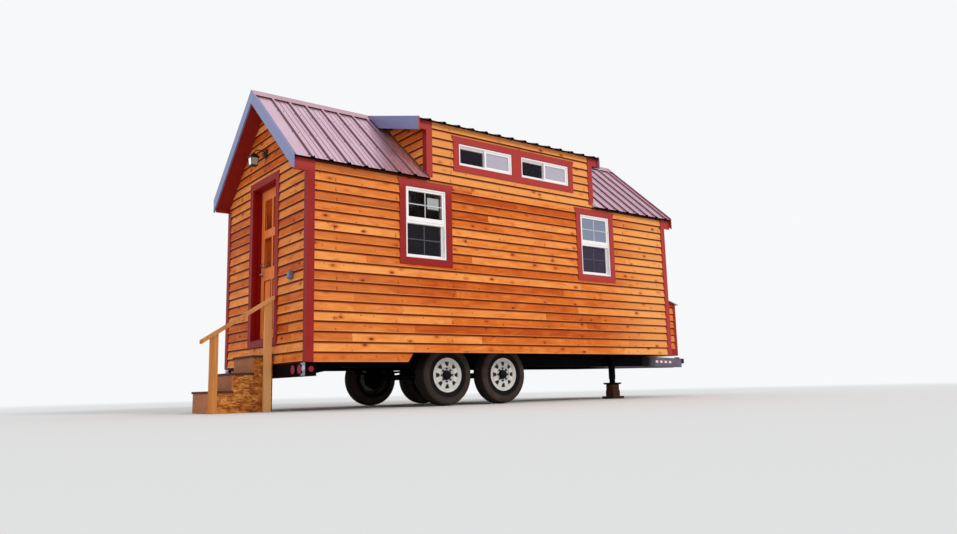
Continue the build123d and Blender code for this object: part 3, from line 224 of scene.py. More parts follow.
# Faces of a grid of rows by columns, closed round either way if asked.
def gridFaces(rows, columns, closedRows=False, closedColumns=False):
    lastRow, lastColumn = rows - (not closedRows), columns - (not closedColumns)
    i, j = np.meshgrid(np.arange(lastRow), np.arange(lastColumn), indexing="ij")
    i2, j2 = (i + 1) % rows * columns, (j + 1) % columns
    i = i * columns
    return np.stack([i + j, i + j2, i2 + j2, i2 + j], -1).reshape(-1, 4)


# Rings of points joined into a tube, with a face at each end
def tubeFaces(rows, around):
    ring = np.arange(around)[None]
    return [gridFaces(rows, around, False, True), ring[:, ::-1], ring + (rows - 1) * around]


# Prisms: each row's closed section of k points carried between its two ends.
# points has the shape (prisms, 2, k, 3); sections run clockwise seen from the far end.
def prismFaces(prisms, k):
    base, ring = np.arange(prisms)[:, None] * 2 * k, np.arange(k)
    following = (ring + 1) % k
    sides = [base + ring, base + k + ring, base + k + following, base + following]
    return [np.stack(sides, -1).reshape(-1, 4), base + ring, base + k + ring[::-1]]


# Straight bars with a bevelled section: six points carried from start to end.
# The section lies in the (side, out) plane that crosses each bar's own line.
def barMesh(name, starts, ends, out, width, depth, bevel, material, slot, body="root"):
    starts, ends, out = (np.array(v, float) for v in (starts, ends, out))
    run = (ends - starts) / np.linalg.norm(ends - starts, axis=1)[:, None]
    half = width / 2
    a = np.array([-half, -half, -half + bevel, half - bevel, half, half])
    b = np.array([0.0, depth - bevel, depth, depth, depth - bevel, 0.0])
    section = a[:, None] * np.cross(out, run)[:, None] + b[:, None] * out
    return carried(name, starts[:, None] + section, ends - starts, material, slot, body)


# Straight pieces: closed sections carried by their own runs, each turned to face out
def carried(name, sections, runs, material, slot, body="root"):
    sections, runs = np.array(sections, float), np.array(runs, float)
    area = np.cross(sections, np.roll(sections, -1, axis=1)).sum(1)
    wrong = (area * runs).sum(1) > 0
    sections[wrong] = sections[wrong, ::-1]
    points = np.stack([sections, sections + runs[:, None]], 1)
    return makePiece(name, points, prismFaces(len(sections), sections.shape[1]), material, slot, body)


# Points round an axis: u * cos(angle) + v * sin(angle), with u and v square to it
def ringAbout(axis, angle):
    helper = (0.0, 0.0, 1.0) if abs(axis[2]) < 0.9 else (1.0, 0.0, 0.0)
    u = np.cross(helper, axis)
    return np.cos(angle)[:, None] * u + np.sin(angle)[:, None] * np.cross(axis, u)


# Nuts: a section with straight sides carried out from a seat, its end drawn in.
# The steps are (share of the height, share of the width); corners lie past flats.
nut = {"steps": ((0.0, 0.5), (0.8, 0.5), (1.0, 0.36)), "cornerShare": 1.1547}


def nutMesh(name, centres, axis, across, height, material, slot, body="root", sides=6):
    centres, axis = np.array(centres, float), np.array(axis, float)
    ring = ringAbout(axis, np.arange(sides) * 2 * math.pi / sides) * across * nut["cornerShare"]
    points = np.concatenate([axis * height * h + ring * w for h, w in nut["steps"]])
    shift = np.arange(len(centres))[:, None, None] * len(points)
    faces = [(f[None] + shift).reshape(-1, f.shape[1]) for f in tubeFaces(len(nut["steps"]), sides)]
    return makePiece(name, centres[:, None] + points, faces, material, slot, body)


# Turned pieces: a profile of (radius, distance) pairs carried round an axis.
def turnedMesh(name, centre, axis, profile, material, slot, body="root", around=48):
    axis = np.array(axis, float)
    ring = ringAbout(axis, np.linspace(0, 2 * math.pi, around, endpoint=False))
    radii, along = np.array(profile, float).T
    points = np.array(centre, float) + ring[None] * radii[:, None, None] + (axis * along[:, None])[:, None]
    return makePiece(name, points, tubeFaces(len(radii), around), material, slot, body, True)


# The parity crossings of closed outlines with a level line, sorted along it.
def crossings(contours, level):
    found = []
    for a in contours:
        b = np.roll(a, -1, axis=0)
        hit = (a[:, 1] > level) != (b[:, 1] > level)
        share = (level - a[hit, 1]) / (b[hit, 1] - a[hit, 1])
        found.append(a[hit, 0] + share * (b[hit, 0] - a[hit, 0]))
    return np.sort(np.concatenate(found))


ribs = {"first": -3.582, "spacing": 0.2286, "span": (-2, 30), "base": 0.056, "top": 0.022, "sheet": 0.003}
windows = {
    "sashCentres": (-2.03, 0.977), "sashSize": (0.594, 0.885), "sashSill": 1.809,
    "sliderCentres": (-1.054, 0.018), "sliderSize": (0.897, 0.288), "sliderSill": 3.09,
    "sliderSpacing": 1.072, "reveal": 0.003, "flare": 0.025,
}

# Stained cedar boards: long grain along the board, a stain that varies from
# board to board, dark knots, rusty nail streaks at the studs, a paler lip where
# the lower edge catches light and the deep shade under the board above. On the side
# walls the boards turn paler towards the hitch, towards the door end and high up:
# painted light.
cedar = {
    "pale": (0.96, 0.345, 0.08), "middle": (0.74, 0.162, 0.017), "deep": (0.5, 0.07, 0.005),
    "knot": (0.16, 0.018, 0.003), "lip": (0.98, 0.46, 0.15), "shade": (0.12, 0.01, 0.002),
    "faded": (0.95, 0.42, 0.125), "knotsEvery": (5.2, 9.7), "pinsEvery": (11, 17), "studs": 0.406,
}


def cedarFinish():
    f = Finish("cedarBoards")
    pale, middle, deep, knot, lip, shade, faded = pick(cedar, "pale middle deep knot lip shade faded")
    uv = f.node("UVMap", uv_map="grain")
    tone, rise, run = (f.attribute(name) for name in ("tone", "rise", "run"))
    streaks = f.noise((2.2, 95, 1), 4, 0.6, 0.4, uv)
    blotch = f.noise((2.8, 9, 1), 3, 0.6, 0.8, uv)
    onSide = f.fade(abs(f.at(1)), 1.2, 1.22)
    # painted light: paler boards on the side walls towards the hitch, towards the door end and high up
    litPale = f.most(f.fade(f.at(2), 2.7, 2.86) * 0.9, f.fade(f.at(0), 0.8, 2.5))
    litPale = f.most(litPale, (1 - f.fade(f.at(0), -2.9, -1.9)) * 0.24) * onSide
    stain = tone * 0.46 + streaks * 0.4 + blotch * 0.62 + litPale * 0.1 - 0.24
    wood = f.ramp(stain, (0.22, deep), (0.48, middle), (0.78, pale))
    wood = f.mix(litPale * 0.72, wood, faded)
    knotField = f.stretch(uv, (*cedar["knotsEvery"], 1))
    knots = f.cells(knotField) + (f.noise(60, 2, over=uv) - 0.5) * 0.1
    present = f.fade(f.lot(knotField), 0.44, 0.46)
    wood = f.mix((1 - f.fade(knots, 0.1, 0.42)) * present * 0.6, wood, deep)
    wood = f.mix((1 - f.fade(knots, 0.07, 0.19)) * present * 0.9, wood, knot)
    pinField = f.stretch(uv, (*cedar["pinsEvery"], 1))
    pins = (1 - f.fade(f.cells(pinField), 0.06, 0.2)) * f.fade(f.lot(pinField, 1), 0.66, 0.68)
    wood = f.mix(pins * 0.7, wood, knot)
    stud = f.maths("PINGPONG", run / cedar["studs"] + tone * 0.09 + blotch * 0.05, 1.0)
    rust = (1 - f.fade(stud, 0.01, 0.034)) * f.fade(rise, 0.03, 0.1) * (1 - f.fade(rise, 0.22, 0.6))
    wood = f.mix(rust * f.fade(f.maths("FRACT", tone * 7.3 + blotch), 0.55, 0.75) * 0.6, wood, knot)
    wood = f.mix((1 - f.fade(rise, 0.0, 0.13)) * 0.45, wood, lip)
    wood = f.mix(f.fade(rise, 0.66, 0.86) * 0.35, wood, deep)
    wood = f.mix(f.fade(rise, 0.73, 0.89) * 0.93, wood, shade)
    return f.surface(wood, 0.48 + streaks * 0.22, streaks + knots * 0.25, 0.0012, specular=0.1)


# painted shade for the boards' undersides: a dark red-brown with grain
def undersideShadeFinish():
    f = Finish("cedarUndersideShade")
    grain = f.noise((6, 6, 40))
    tone = f.mix(grain, (0.17, 0.018, 0.004), (0.26, 0.034, 0.007))
    return f.surface(tone, 0.8, grain, 0.0008, specular=0.1)


def edgeFinish():
    f = Finish("cedarEdges")
    grain = f.noise((3, 3, 60), 4, 0.6)
    tone = f.ramp(grain, (0.3, (0.3, 0.085, 0.018)), (0.7, (0.55, 0.22, 0.065)))
    return f.surface(tone, 0.6, grain, 0.0008, specular=0.2)


# a scale that differs along one axis
def grainScale(axis, across, along):
    return [along if k == axis else across for k in range(3)]


# Solid painted timber: faint grain under the paint, brush marks, worn spots, and,
# where a tint is given, that paler tint on the side faces high up and towards the
# hitch as painted light.
def paintedFinish(name, colour, worn, axis, rough=0.42, litTint=None):
    f = Finish(name)
    grain = f.noise(grainScale(axis, 55.0, 2.5), 4, 0.6)
    tone = f.mix(f.fade(f.noise(3.1, 4, 0.6), 0.4, 0.8) * 0.45 + grain * 0.25, colour, worn)
    if litTint:
        # painted light: the side faces turn paler high up and towards the hitch
        high = f.most(f.fade(f.at(2), 2.62, 2.8), f.fade(f.at(0), -1.2, 0.6))
        onSide = f.fade(abs(f.at(1)), 1.262, 1.2645)
        tone = f.mix(high * onSide * (0.7 + grain * 0.3), tone, litTint)
    return f.surface(tone, rough + grain * 0.2, grain, 0.0008, specular=0.16)


# Bare or clear-finished softwood with growth bands along one axis. Where a last
# colour is given, the wood turns to it towards the house's door end: painted light
# over the shadow the house casts there.
def timberFinish(name, pale, dark, axis, bands, rough=0.5, knots=0.5, litNearHouse=None):
    f = Finish(name)
    warp = f.noise(grainScale(axis, bands / 3, 1.4 / 3), 3, 0.6)
    grain = f.noise(grainScale(axis, bands, 1.4), 4, 0.65, 1.2)
    field = f.stretch(f.place, grainScale(axis, 7.0, 2.1))
    spot = (1 - f.fade(f.cells(field), 0.04, 0.16)) * f.fade(f.lot(field), 0.8, 0.84)
    tone = f.mix(f.fade(grain * 0.7 + warp * 0.3, 0.34, 0.66), pale, dark)
    tone = f.mix(spot * knots, tone, [c * 0.35 for c in dark])
    if litNearHouse:
        # painted light towards the door end, over the house's shadow
        tone = f.mix(f.fade(f.at(0), -4.05, -3.8) * 0.75, tone, litNearHouse)
    return f.surface(tone, rough + grain * 0.15, grain, 0.001, specular=0.14)


# Enamelled burgundy roof sheet: pale pink flats as a painted sheen, with gloss
# and part metal that mirror the sky; painted shade in deep burgundy on the ribs'
# flanks; dust clouds and faint oil-canning.
def sheetFinish():
    f = Finish("roofSheet")
    first, spacing, base, top = pick(ribs, "first spacing base top")
    clouds = f.noise((1.1, 1.6, 1.6), 4, 0.6)
    away = f.maths("PINGPONG", (f.at(0) - first) / spacing, 0.5) * spacing
    shadedFlank = f.fade(away, top / 2 - 0.003, top / 2 + 0.001)
    shadedFlank = shadedFlank * (1 - f.fade(away, base / 2 + 0.001, base / 2 + 0.006))
    dust = f.fade(clouds * 0.7 + f.noise(46, 3, 0.6) * 0.3, 0.35, 0.75) * 0.6
    # painted sheen: pale pink flats on a burgundy sheet
    tone = f.mix(dust, (0.78, 0.43, 0.47), (0.88, 0.64, 0.65))
    # painted shade on the ribs' flanks
    tone = f.mix(shadedFlank * 0.94, tone, (0.105, 0.011, 0.024))
    flat, waves = 1 - shadedFlank, f.noise((5, 2, 2), 2)
    return f.surface(tone, 0.3 + clouds * 0.12, waves, 0.003, metal=flat * 0.62, coat=flat * 0.6,
                     coatRough=0.18, specular=0.4)


# Folded flashing: the same enamel, its colour given as the cool tint of open sky
# it mirrors (painted reflection), red at its cut ends and on the inner side at the
# hitch end.
def flashingFinish(name, colour, dust):
    f = Finish(name)
    clouds = f.noise(2.3, 4, 0.6)
    ends = f.fade(abs(f.at(1)), 1.2985, 1.2995) * f.fade(f.at(0), -2.6, -2.5)
    inner = f.fade(f.at(0), 2.6, 2.65) * (1 - f.fade(f.at(0), 2.7115, 2.713))
    tone = f.mix(f.fade(clouds, 0.4, 0.75) * 0.5, colour, dust)
    tone = f.mix(f.most(ends, inner), tone, (0.36, 0.026, 0.02))
    return f.surface(tone, 0.34 + clouds * 0.12, f.noise(3.5, 2), 0.003, coat=0.5, coatRough=0.2,
                     specular=0.4)


def vinylFinish():
    f = Finish("whiteVinyl")
    grime = f.noise(9, 4, 0.65)
    tone = f.mix(f.fade(grime, 0.45, 0.8) * 0.5, (0.97, 0.935, 0.925), (0.8, 0.75, 0.73))
    return f.surface(tone, 0.36 + grime * 0.12, f.noise(120, 2), 0.0002, specular=0.35)


# Sheet glass over a dim room, tinted pane by pane by where it lies along and up
# the wall: pale painted reflections on the upper panes towards the hitch and on the
# right-hand dormer panes, and the darker tint of screens on the lower and left ones.
def windowGlassFinish():
    f = Finish("windowGlass")
    film = f.noise(14, 3, 0.6)
    toHitch = f.fade(f.at(0), 0.3, 0.4)
    high, dormer = f.fade(f.at(2), 2.24, 2.26), f.fade(f.at(2), 2.9, 3.0)
    turn = (f.at(0) - windows["sliderCentres"][0]) * (2 * math.pi / windows["sliderSpacing"])
    right = f.fade(f.maths("SINE", turn), -0.01, 0.01)
    low = f.mix(toHitch, (0.008, 0.007, 0.011), (0.05, 0.036, 0.068))
    sash = f.mix(high, low, f.mix(toHitch, (0.003, 0.004, 0.005), (0.28, 0.33, 0.44)))
    tone = f.mix(dormer, sash, f.mix(right, (0.022, 0.018, 0.03), (0.58, 0.54, 0.62)))
    tone = f.mix(film * 0.12, tone, (0.16, 0.17, 0.18))
    lowAlpha, highAlpha = 0.4 + toHitch * 0.25, 0.1 + toHitch * 0.74
    sashAlpha = lowAlpha + (highAlpha - lowAlpha) * high
    alpha = sashAlpha + (right * 0.58 + 0.28 - sashAlpha) * dormer
    return f.surface(tone, 0.05 + film * 0.04, f.noise(3.0, 2), 0.0005, alpha=alpha, specular=0.2)


def doorGlassFinish():
    f = Finish("doorGlass")
    film = f.noise(9, 3, 0.6)
    seen = f.noise(1.3, 2, over=f.stretch(f.place, (1, 1, 1.6)))
    tone = f.mix(f.fade(seen, 0.35, 0.65), (0.52, 0.085, 0.006), (0.22, 0.028, 0.003))
    return f.surface(tone, 0.1 + film * 0.05, film, 0.0003, alpha=0.93, specular=0.2)


# Black enamel with dust clouds, near-black as it also stands for the shade under
# the house (painted shade). Ahead of the house it turns lavender grey, broken by
# dust, by as much as the second argument says: painted light on the tongue.
def steelFinish(name, faded):
    f = Finish(name)
    dust = f.fade(f.noise(4.5, 5, 0.65), 0.5, 0.8)
    ahead = f.fade(f.at(0), 2.66, 2.9)
    tone = f.mix(dust * 0.3, (0.0022, 0.0018, 0.0022), (0.016, 0.012, 0.012))
    # painted light ahead of the house, by as much as the second argument says
    tone = f.mix(ahead * (0.62 + dust * 0.35) * faded, tone, (0.21, 0.19, 0.25))
    return f.surface(tone, 0.6 + dust * 0.2, f.noise(60, 3, 0.6), 0.0006, specular=0.03)


# Plain painted or bare metal, clouded with dust, with fine pits
def metalFinish(name, colour, rough, specular=0.5, metal=0.0, pit=90.0):
    f = Finish(name)
    clouds = f.noise(11, 4, 0.6)
    tone = f.mix(f.fade(clouds, 0.35, 0.75) * 0.6, colour, [c * 0.62 for c in colour])
    marks = f.noise(pit, 3, 0.6)
    return f.surface(tone, rough + clouds * 0.18, marks, 0.0004, metal=metal, specular=specular)


def lampFinish(name, colour, glow):
    f = Finish(name)
    sockets = {"Vector": f.place, "Scale": 32.0}
    rings = f.node("TexWave", sockets, wave_type="BANDS", bands_direction="Z")
    tone = f.mix(rings, colour, [c * 0.55 for c in colour])
    return f.surface(tone, 0.22 + rings * 0.08, rings, 0.0006, glow=glow, glowStrength=0.06, specular=0.2)


def rubberFinish():
    f = Finish("tyreRubber")
    dust = f.fade(f.noise(7, 5, 0.65) + f.noise(1.8, 2) * 0.5, 0.55, 1.05)
    reach = f.attribute("reach")
    worn = f.fade(reach, 0.262, 0.3) * (1 - f.fade(reach, 0.355, 0.368) * 0.75) * (0.45 + dust * 0.55)
    tone = f.mix(worn, (0.0075, 0.0062, 0.0058), (0.078, 0.053, 0.042))
    return f.surface(tone, 0.74 + dust * 0.2, f.noise(150), 0.0006, specular=0.1)


def enamelFinish():
    f = Finish("rimEnamel")
    dust = f.fade(f.noise(16, 5, 0.65), 0.42, 0.8)
    rust = f.fade(f.noise(75, 4, 0.7), 0.68, 0.76)
    tone = f.mix(dust * 0.55, (0.74, 0.71, 0.66), (0.4, 0.33, 0.26))
    tone = f.mix(rust * 0.6, tone, (0.2, 0.09, 0.04))
    # painted shade in the windows' dips and the barrel, dirt in the seams
    tone = f.mix(f.attribute("pit"), tone, (0.003, 0.003, 0.003))
    return f.surface(tone, 0.32 + dust * 0.35, f.noise(90, 2), 0.0003, specular=0.3)


# Brown wood-plastic deck boards with a pressed grain.
def compositeFinish(name, pale, dark):
    f = Finish(name)
    grain = f.noise((60, 5, 60), 4, 0.6, 0.5)
    tone = f.mix(f.fade(grain * 0.6 + f.noise(5) * 0.4, 0.3, 0.7), pale, dark)
    return f.surface(tone, 0.6 + grain * 0.2, grain, 0.0012, specular=0.2)


# Strand board: three layers of short pressed flakes that lie mostly level,
# with thin dark gaps between them.
def strandFinish():
    f = Finish("strandBoard")
    warped = f.stretch(f.place, (17, 17, 46))
    fields = [f.stretch(warped, (1, 1, 1), [shift] * 3, (0, turn, 0))
              for turn, shift in ((0.16, 0.0), (-0.22, 3.7), (0.42, 8.1))]
    layers = [f.lot(field) for field in fields]
    gaps = 1 - f.fade(f.cells(fields[0], "DISTANCE_TO_EDGE"), 0.0, 0.09)
    mixed = layers[0] * 0.45 + layers[1] * 0.3 + layers[2] * 0.25
    tone = f.ramp(mixed, (0.25, (0.26, 0.055, 0.006)), (0.5, (0.5, 0.15, 0.018)), (0.75, (0.74, 0.32, 0.075)))
    tone = f.mix(gaps * f.fade(layers[1], 0.4, 0.6) * 0.75, tone, (0.13, 0.022, 0.004))
    return f.surface(tone, 0.72, mixed, 0.0015, specular=0.2)


def frostedFinish(name, colour, glow):
    f = Finish(name)
    seeds = f.noise(55)
    tone = f.mix(seeds, colour, [c * 0.86 for c in colour])
    return f.surface(tone, 0.45, seeds, 0.0008, glow=colour, glowStrength=glow)


# Galvanised tread plate: raised dashes lying both ways.
def treadPlateFinish():
    f = Finish("treadPlate")
    bars = []
    for turn in (0.785, -0.785):
        turned = f.stretch(f.place, (1, 1, 1), turn=(turn, 0, 0))
        wave = f.maths("SINE", f.axis(turned, 1) * 300) * f.maths("SINE", f.axis(turned, 2) * 110)
        bars.append(f.fade(wave, 0.35, 0.55))
    raised = f.most(*bars)
    return f.surface(f.mix(raised, (0.26, 0.28, 0.33), (0.62, 0.66, 0.74)), 0.35, raised, 0.002, metal=0.7)


cedarBoards = cedarFinish()
undersideShade = undersideShadeFinish()
cedarEdge = edgeFinish()
redTrimUp, redTrim = (
    paintedFinish(name, (0.305, 0.01, 0.007), (0.38, 0.03, 0.024), axis, litTint=(0.46, 0.045, 0.038))
    for name, axis in (("redTrimUpright", 2), ("redTrim", 0))
)
jambPaint = paintedFinish("jambPaint", (0.26, 0.0016, 0.0012), (0.31, 0.004, 0.003), 2)
soffitPaint = paintedFinish("soffitPaint", (0.235, 0.011, 0.005), (0.29, 0.02, 0.009), 0, 0.6)
tapeWhite = paintedFinish("tapeWhite", (0.86, 0.8, 0.8), (0.78, 0.7, 0.7), 0, 0.3)
tapeRed = paintedFinish("tapeRed", (0.34, 0.03, 0.045), (0.38, 0.045, 0.06), 0, 0.3)
roofSheet = sheetFinish()
# painted reflection: the rake flashing blue and the ridge cap pale pink on burgundy enamel
flashing = flashingFinish("rakeFlashing", (0.18, 0.2, 0.4), (0.24, 0.25, 0.45))
capFlashing = flashingFinish("ridgeCap", (0.5, 0.22, 0.25), (0.62, 0.38, 0.4))
vinyl = vinylFinish()
windowGlass = windowGlassFinish()
doorGlass = doorGlassFinish()
doorFir = timberFinish("doorFir", (0.97, 0.28, 0.07), (0.76, 0.16, 0.03), 2, 46, 0.45, 0.3)
# dark strips round the door's lights and panels: painted shade
doorGrooveShade = timberFinish("doorMoulding", (0.4, 0.075, 0.01), (0.22, 0.032, 0.004), 2, 46, 0.5, 0.2)
rawFir = timberFinish("rawFirUpright", (0.68, 0.29, 0.085), (0.48, 0.16, 0.036), 2, 44, 0.66, 0.7,
                      (0.97, 0.5, 0.19))
blockWood = timberFinish("blockWood", (0.085, 0.032, 0.018), (0.036, 0.013, 0.008), 0, 30, 0.85)
floorBoards = timberFinish("floorBoards", (0.56, 0.36, 0.19), (0.38, 0.21, 0.1), 0, 26, 0.45)
lining = timberFinish("sheathing", (0.6, 0.42, 0.24), (0.46, 0.29, 0.15), 0, 22, 0.6)
steel = steelFinish("blackSteel", 1.0)
couplerSteel = steelFinish("couplerSteel", 0.12)
nickel = metalFinish("satinNickel", (0.62, 0.58, 0.53), 0.28, metal=1.0)
zinc = metalFinish("zincSheet", (0.56, 0.58, 0.6), 0.36, metal=1.0, pit=40.0)
# near-black edges: real trim that also stands for painted shade under the roof's edge
blackEdge = metalFinish("blackDripEdge", (0.002, 0.0014, 0.0016), 0.6, 0.03)
lowRibRed = metalFinish("lowRibRed", (0.36, 0.11, 0.145), 0.45, 0.3)
barGrey = metalFinish("barGrey", (0.66, 0.7, 0.72), 0.5, 0.2)
# dark copy of the bars for the lower lights: painted shade
barShaded = metalFinish("barShaded", (0.105, 0.1, 0.13), 0.5, 0.2)
# paler ridges on the outlet cover: painted highlights
outletRidgeHighlight = metalFinish("outletRidgeHighlight", (0.36, 0.37, 0.46), 0.4, 0.3)
outletGrey = metalFinish("outletGrey", (0.17, 0.18, 0.24), 0.4, 0.3)
lanternBlack = metalFinish("lanternBlack", (0.008, 0.0075, 0.0085), 0.4, 0.3)
hubBlack = metalFinish("hubBlack", (0.003, 0.0026, 0.003), 0.45, 0.12)
lampRed = lampFinish("lampRed", (0.34, 0.006, 0.045), (0.4, 0.01, 0.05))
lampClear = lampFinish("lampClear", (0.62, 0.64, 0.68), (0.2, 0.2, 0.2))
treadPlate = treadPlateFinish()
rubber = rubberFinish()
enamel = enamelFinish()
riserBoard = compositeFinish("riserBoard", (0.5, 0.19, 0.072), (0.4, 0.135, 0.048))
# the treads' dark brown also stands for the shade on their nosings seen from below: part painted shade
treadBoard = compositeFinish("treadBoard", (0.1, 0.04, 0.024), (0.055, 0.022, 0.014))
strand = strandFinish()
# lantern glass: a bright glowing copy as painted sky reflection, a dim copy as painted shade
frostedSkyLit = frostedFinish("frostedSkyLit", (0.86, 0.9, 0.96), 0.3)
frostedShaded = frostedFinish("frostedShaded", (0.46, 0.42, 0.36), 0.02)
print("finishes made")

painted = (
    (lining, "near_wall far_wall near_door_wall far_door_wall door_gable hitch_wall"),
    (cedarEdge, "skirt dormer_cheeks utility_box"), (redTrimUp, "corner_boards"),
    (redTrim, "window_casings door_casing eave_returns utility_box_trim"), (jambPaint, "door_frame"),
    (soffitPaint, "rear_roof_deck front_roof_deck dormer_roof_deck"),
    (roofSheet, "rear_roof_metal front_roof_metal dormer_roof_metal"),
    (capFlashing, "ridge_cap"), (flashing, "rake_trim"), (vinyl, "near_window_frames far_window_frames"),
    (windowGlass, "near_window_glass far_window_glass"), (doorGlass, "door_glass"), (doorFir, "door_leaf"),
    (nickel, "door_hardware frame_hinges"), (floorBoards, "floor_deck"),
    (steel, "near_beam far_beam rear_floor_frame front_floor_frame wheel_bay_frame rear_bumper"),
    (steel, "axles leaf_springs jack"), (couplerSteel, "coupler"), (lampRed, "tail_lights"),
    (rubber, "near_rear_tyre near_front_tyre far_rear_tyre far_front_tyre"),
    (enamel, "near_rear_rim near_front_rim far_rear_rim far_front_rim"), (blockWood, "jack_blocks"),
    (treadBoard, "stair_treads"), (riserBoard, "stair_risers"), (strand, "stair_sides"),
    (rawFir, "handrail"), (lanternBlack, "porch_lantern"), (outletGrey, "outlet_box"),
    (zinc, "utility_box_roof"),
)
for material, names in painted:
    for name in names.split():
        slots = nodes[name].data.materials
        if slots:
            slots[0] = material
        else:
            slots.append(material)
print("solids painted")

# Lap boards
boards = {
    "exposure": 0.1143, "lowThickness": 0.02, "highThickness": 0.006, "lip": 0.0025, "cutLip": 0.0003,
    "shortest": 1.5, "longest": 4.3, "joint": 0.0016, "clearOfEnd": 0.2, "thinnest": 0.0015,
    "doorEndRaised": 0.13,
}


# Boards over one flat wall. The wall is a set of closed outlines in (s, z), read
# by parity, so inner outlines are holes. Each course is cut where an outline
# turns, and each run of it into boards. A board's section goes up its front face
# from the thick lower edge to the thin upper one: t = low + (high - low) * rise.
def lapBoards(name, out, offset, contours, firstCourse, seed):
    exposure, shortest, longest, clear = pick(boards, "exposure shortest longest clearOfEnd")
    thick, thin, joint = pick(boards, "lowThickness highThickness joint")
    up, out = np.array([0.0, 0.0, 1.0]), np.array(out, float)
    along = np.cross(up, out)
    contours = [np.asarray(c, float) for c in contours]
    corners = np.concatenate(contours)
    turns = np.unique(np.round(corners[:, 1], 5))
    left, right = corners[:, 0].min(), corners[:, 0].max()
    random = np.random.default_rng(seed)
    rows = []
    lowest, highest = (turns[[0, -1]] - firstCourse) / exposure
    for course in range(math.floor(lowest), math.ceil(highest)):
        foot = firstCourse + course * exposure
        head = foot + exposure
        joints = [left - random.uniform(0, longest)]
        while joints[-1] < right:
            joints.append(joints[-1] + random.uniform(shortest, longest))
        joints = np.array(joints)
        tones = random.uniform(0, 1, len(joints))
        shifts = random.uniform(0, 40, len(joints))
        within = turns[(turns > foot + 1e-4) & (turns < head - 1e-4)]
        cuts = [max(foot, turns[0]), *within, min(head, turns[-1])]
        for low, high in zip(cuts[:-1], cuts[1:]):
            if high - low < boards["thinnest"]:
                continue
            lowEnds, highEnds = crossings(contours, low + 1e-5), crossings(contours, high - 1e-5)
            ends = list(zip(lowEnds, highEnds))
            for start, end in zip(ends[0::2], ends[1::2]):
                inside = joints[(joints > max(start) + clear) & (joints < min(end) - clear)]
                stops = [start, *[(j, j) for j in inside], end]
                for k in range(len(stops) - 1):
                    first = [v + (joint / 2 if k else 0) for v in stops[k]]
                    last = [v - (joint / 2 if k < len(stops) - 2 else 0) for v in stops[k + 1]]
                    board = np.searchsorted(joints, (first[0] + last[0]) / 2) - 1
                    rises = ((low - foot) / exposure, (high - foot) / exposure)
                    lip = boards["lip" if low == foot else "cutLip"]
                    rows.append([*first, *last, low, high, *rises, lip, tones[board], shifts[board]])
    startLow, startHigh, endLow, endHigh, low, high, riseLow, riseHigh, lip, tone, shift = np.array(rows).T
    lowFace, highFace = thick + (thin - thick) * riseLow, thick + (thin - thick) * riseHigh
    z = np.stack([low, low, low + lip, high, high], -1)
    t = np.stack([0 * low, lowFace - lip * 0.6, lowFace, highFace, 0 * low], -1)
    share = (z - low[:, None]) / (high - low)[:, None]
    starts = startLow[:, None] + share * (startHigh - startLow)[:, None]
    ends = endLow[:, None] + share * (endHigh - endLow)[:, None]
    s = np.stack([starts, ends], 1)
    z, t = (np.stack([v, v], 1) for v in (z, t))
    points = offset * out + s[..., None] * along + z[..., None] * up + t[..., None] * out
    rise = riseLow[:, None] + share * (riseHigh - riseLow)[:, None]
    shift = shift[:, None, None]
    maps = np.stack([s + shift, z + shift * 0.37], -1).reshape(-1, 2)
    values = {"tone": np.repeat(tone, 10), "rise": np.repeat(rise[:, None], 2, axis=1), "run": s}
    # the underside faces take the dark underside finish: painted shade
    parts = np.concatenate([np.tile([1, 0, 0, 0, 0], len(rows)), np.zeros(2 * len(rows), int)])
    return makePiece(name, points, prismFaces(len(rows), 5), [cedarBoards, undersideShade], "cedar_boards",
                     maps=maps, values=values, parts=parts)


def flip(outline):
    return [(-s, z) for s, z in outline]


def rectangle(left, right, bottom, top):
    return [(left, bottom), (right, bottom), (right, top), (left, top)]


def centred(x, y, halfWide, halfTall):
    return rectangle(x - halfWide, x + halfWide, y - halfTall, y + halfTall)


# the window casing's outer edge, its head flared
def casingOutline(left, right, sill, head):
    edge, shoulder, flare = windows["reveal"] + trimWidth, head + windows["reveal"], windows["flare"]
    return [
        (left - edge, sill - edge), (right + edge, sill - edge), (right + edge, shoulder),
        (right + edge + flare, shoulder + trimWidth), (left - edge - flare, shoulder + trimWidth),
        (left - edge, shoulder),
    ]


leg = trimWidth - house["trim"]
sideFront, sideBack = doorX + leg, hitchX - leg
topBelowDeck = 0.004
boardTop = roofZ(halfWidth + boards["lowThickness"]) - topBelowDeck
dormerTop = roofZ(halfWidth + boards["lowThickness"], dormerSlope) - topBelowDeck
dormerLeft, dormerRight = house["dormerX"][0] + leg, house["dormerX"][1] - leg
stepX = house["stepX"]
sashWidth, sashHeight = windows["sashSize"]
sliderWidth, sliderHeight = windows["sliderSize"]
sashSill, sliderSill, (leftSlider, rightSlider) = pick(windows, "sashSill sliderSill sliderCentres")
sideOutlines = [
    [
        (sideFront, rearSkirt), (stepX, rearSkirt), (stepX + house["stepRun"], frontSkirt),
        (sideBack, frontSkirt), (sideBack, boardTop), (dormerRight, boardTop), (dormerRight, dormerTop),
        (dormerLeft, dormerTop), (dormerLeft, boardTop), (sideFront, boardTop),
    ],
    *[casingOutline(x - sashWidth / 2, x + sashWidth / 2, sashSill, sashSill + sashHeight)
      for x in windows["sashCentres"]],
    casingOutline(leftSlider - sliderWidth / 2, rightSlider + sliderWidth / 2, sliderSill,
                  sliderSill + sliderHeight),
]
lapBoards("near_side_boards", (0, -1, 0), halfWidth, sideOutlines, rearSkirt, 11)
lapBoards("far_side_boards", (0, 1, 0), halfWidth, map(flip, sideOutlines), rearSkirt, 12)

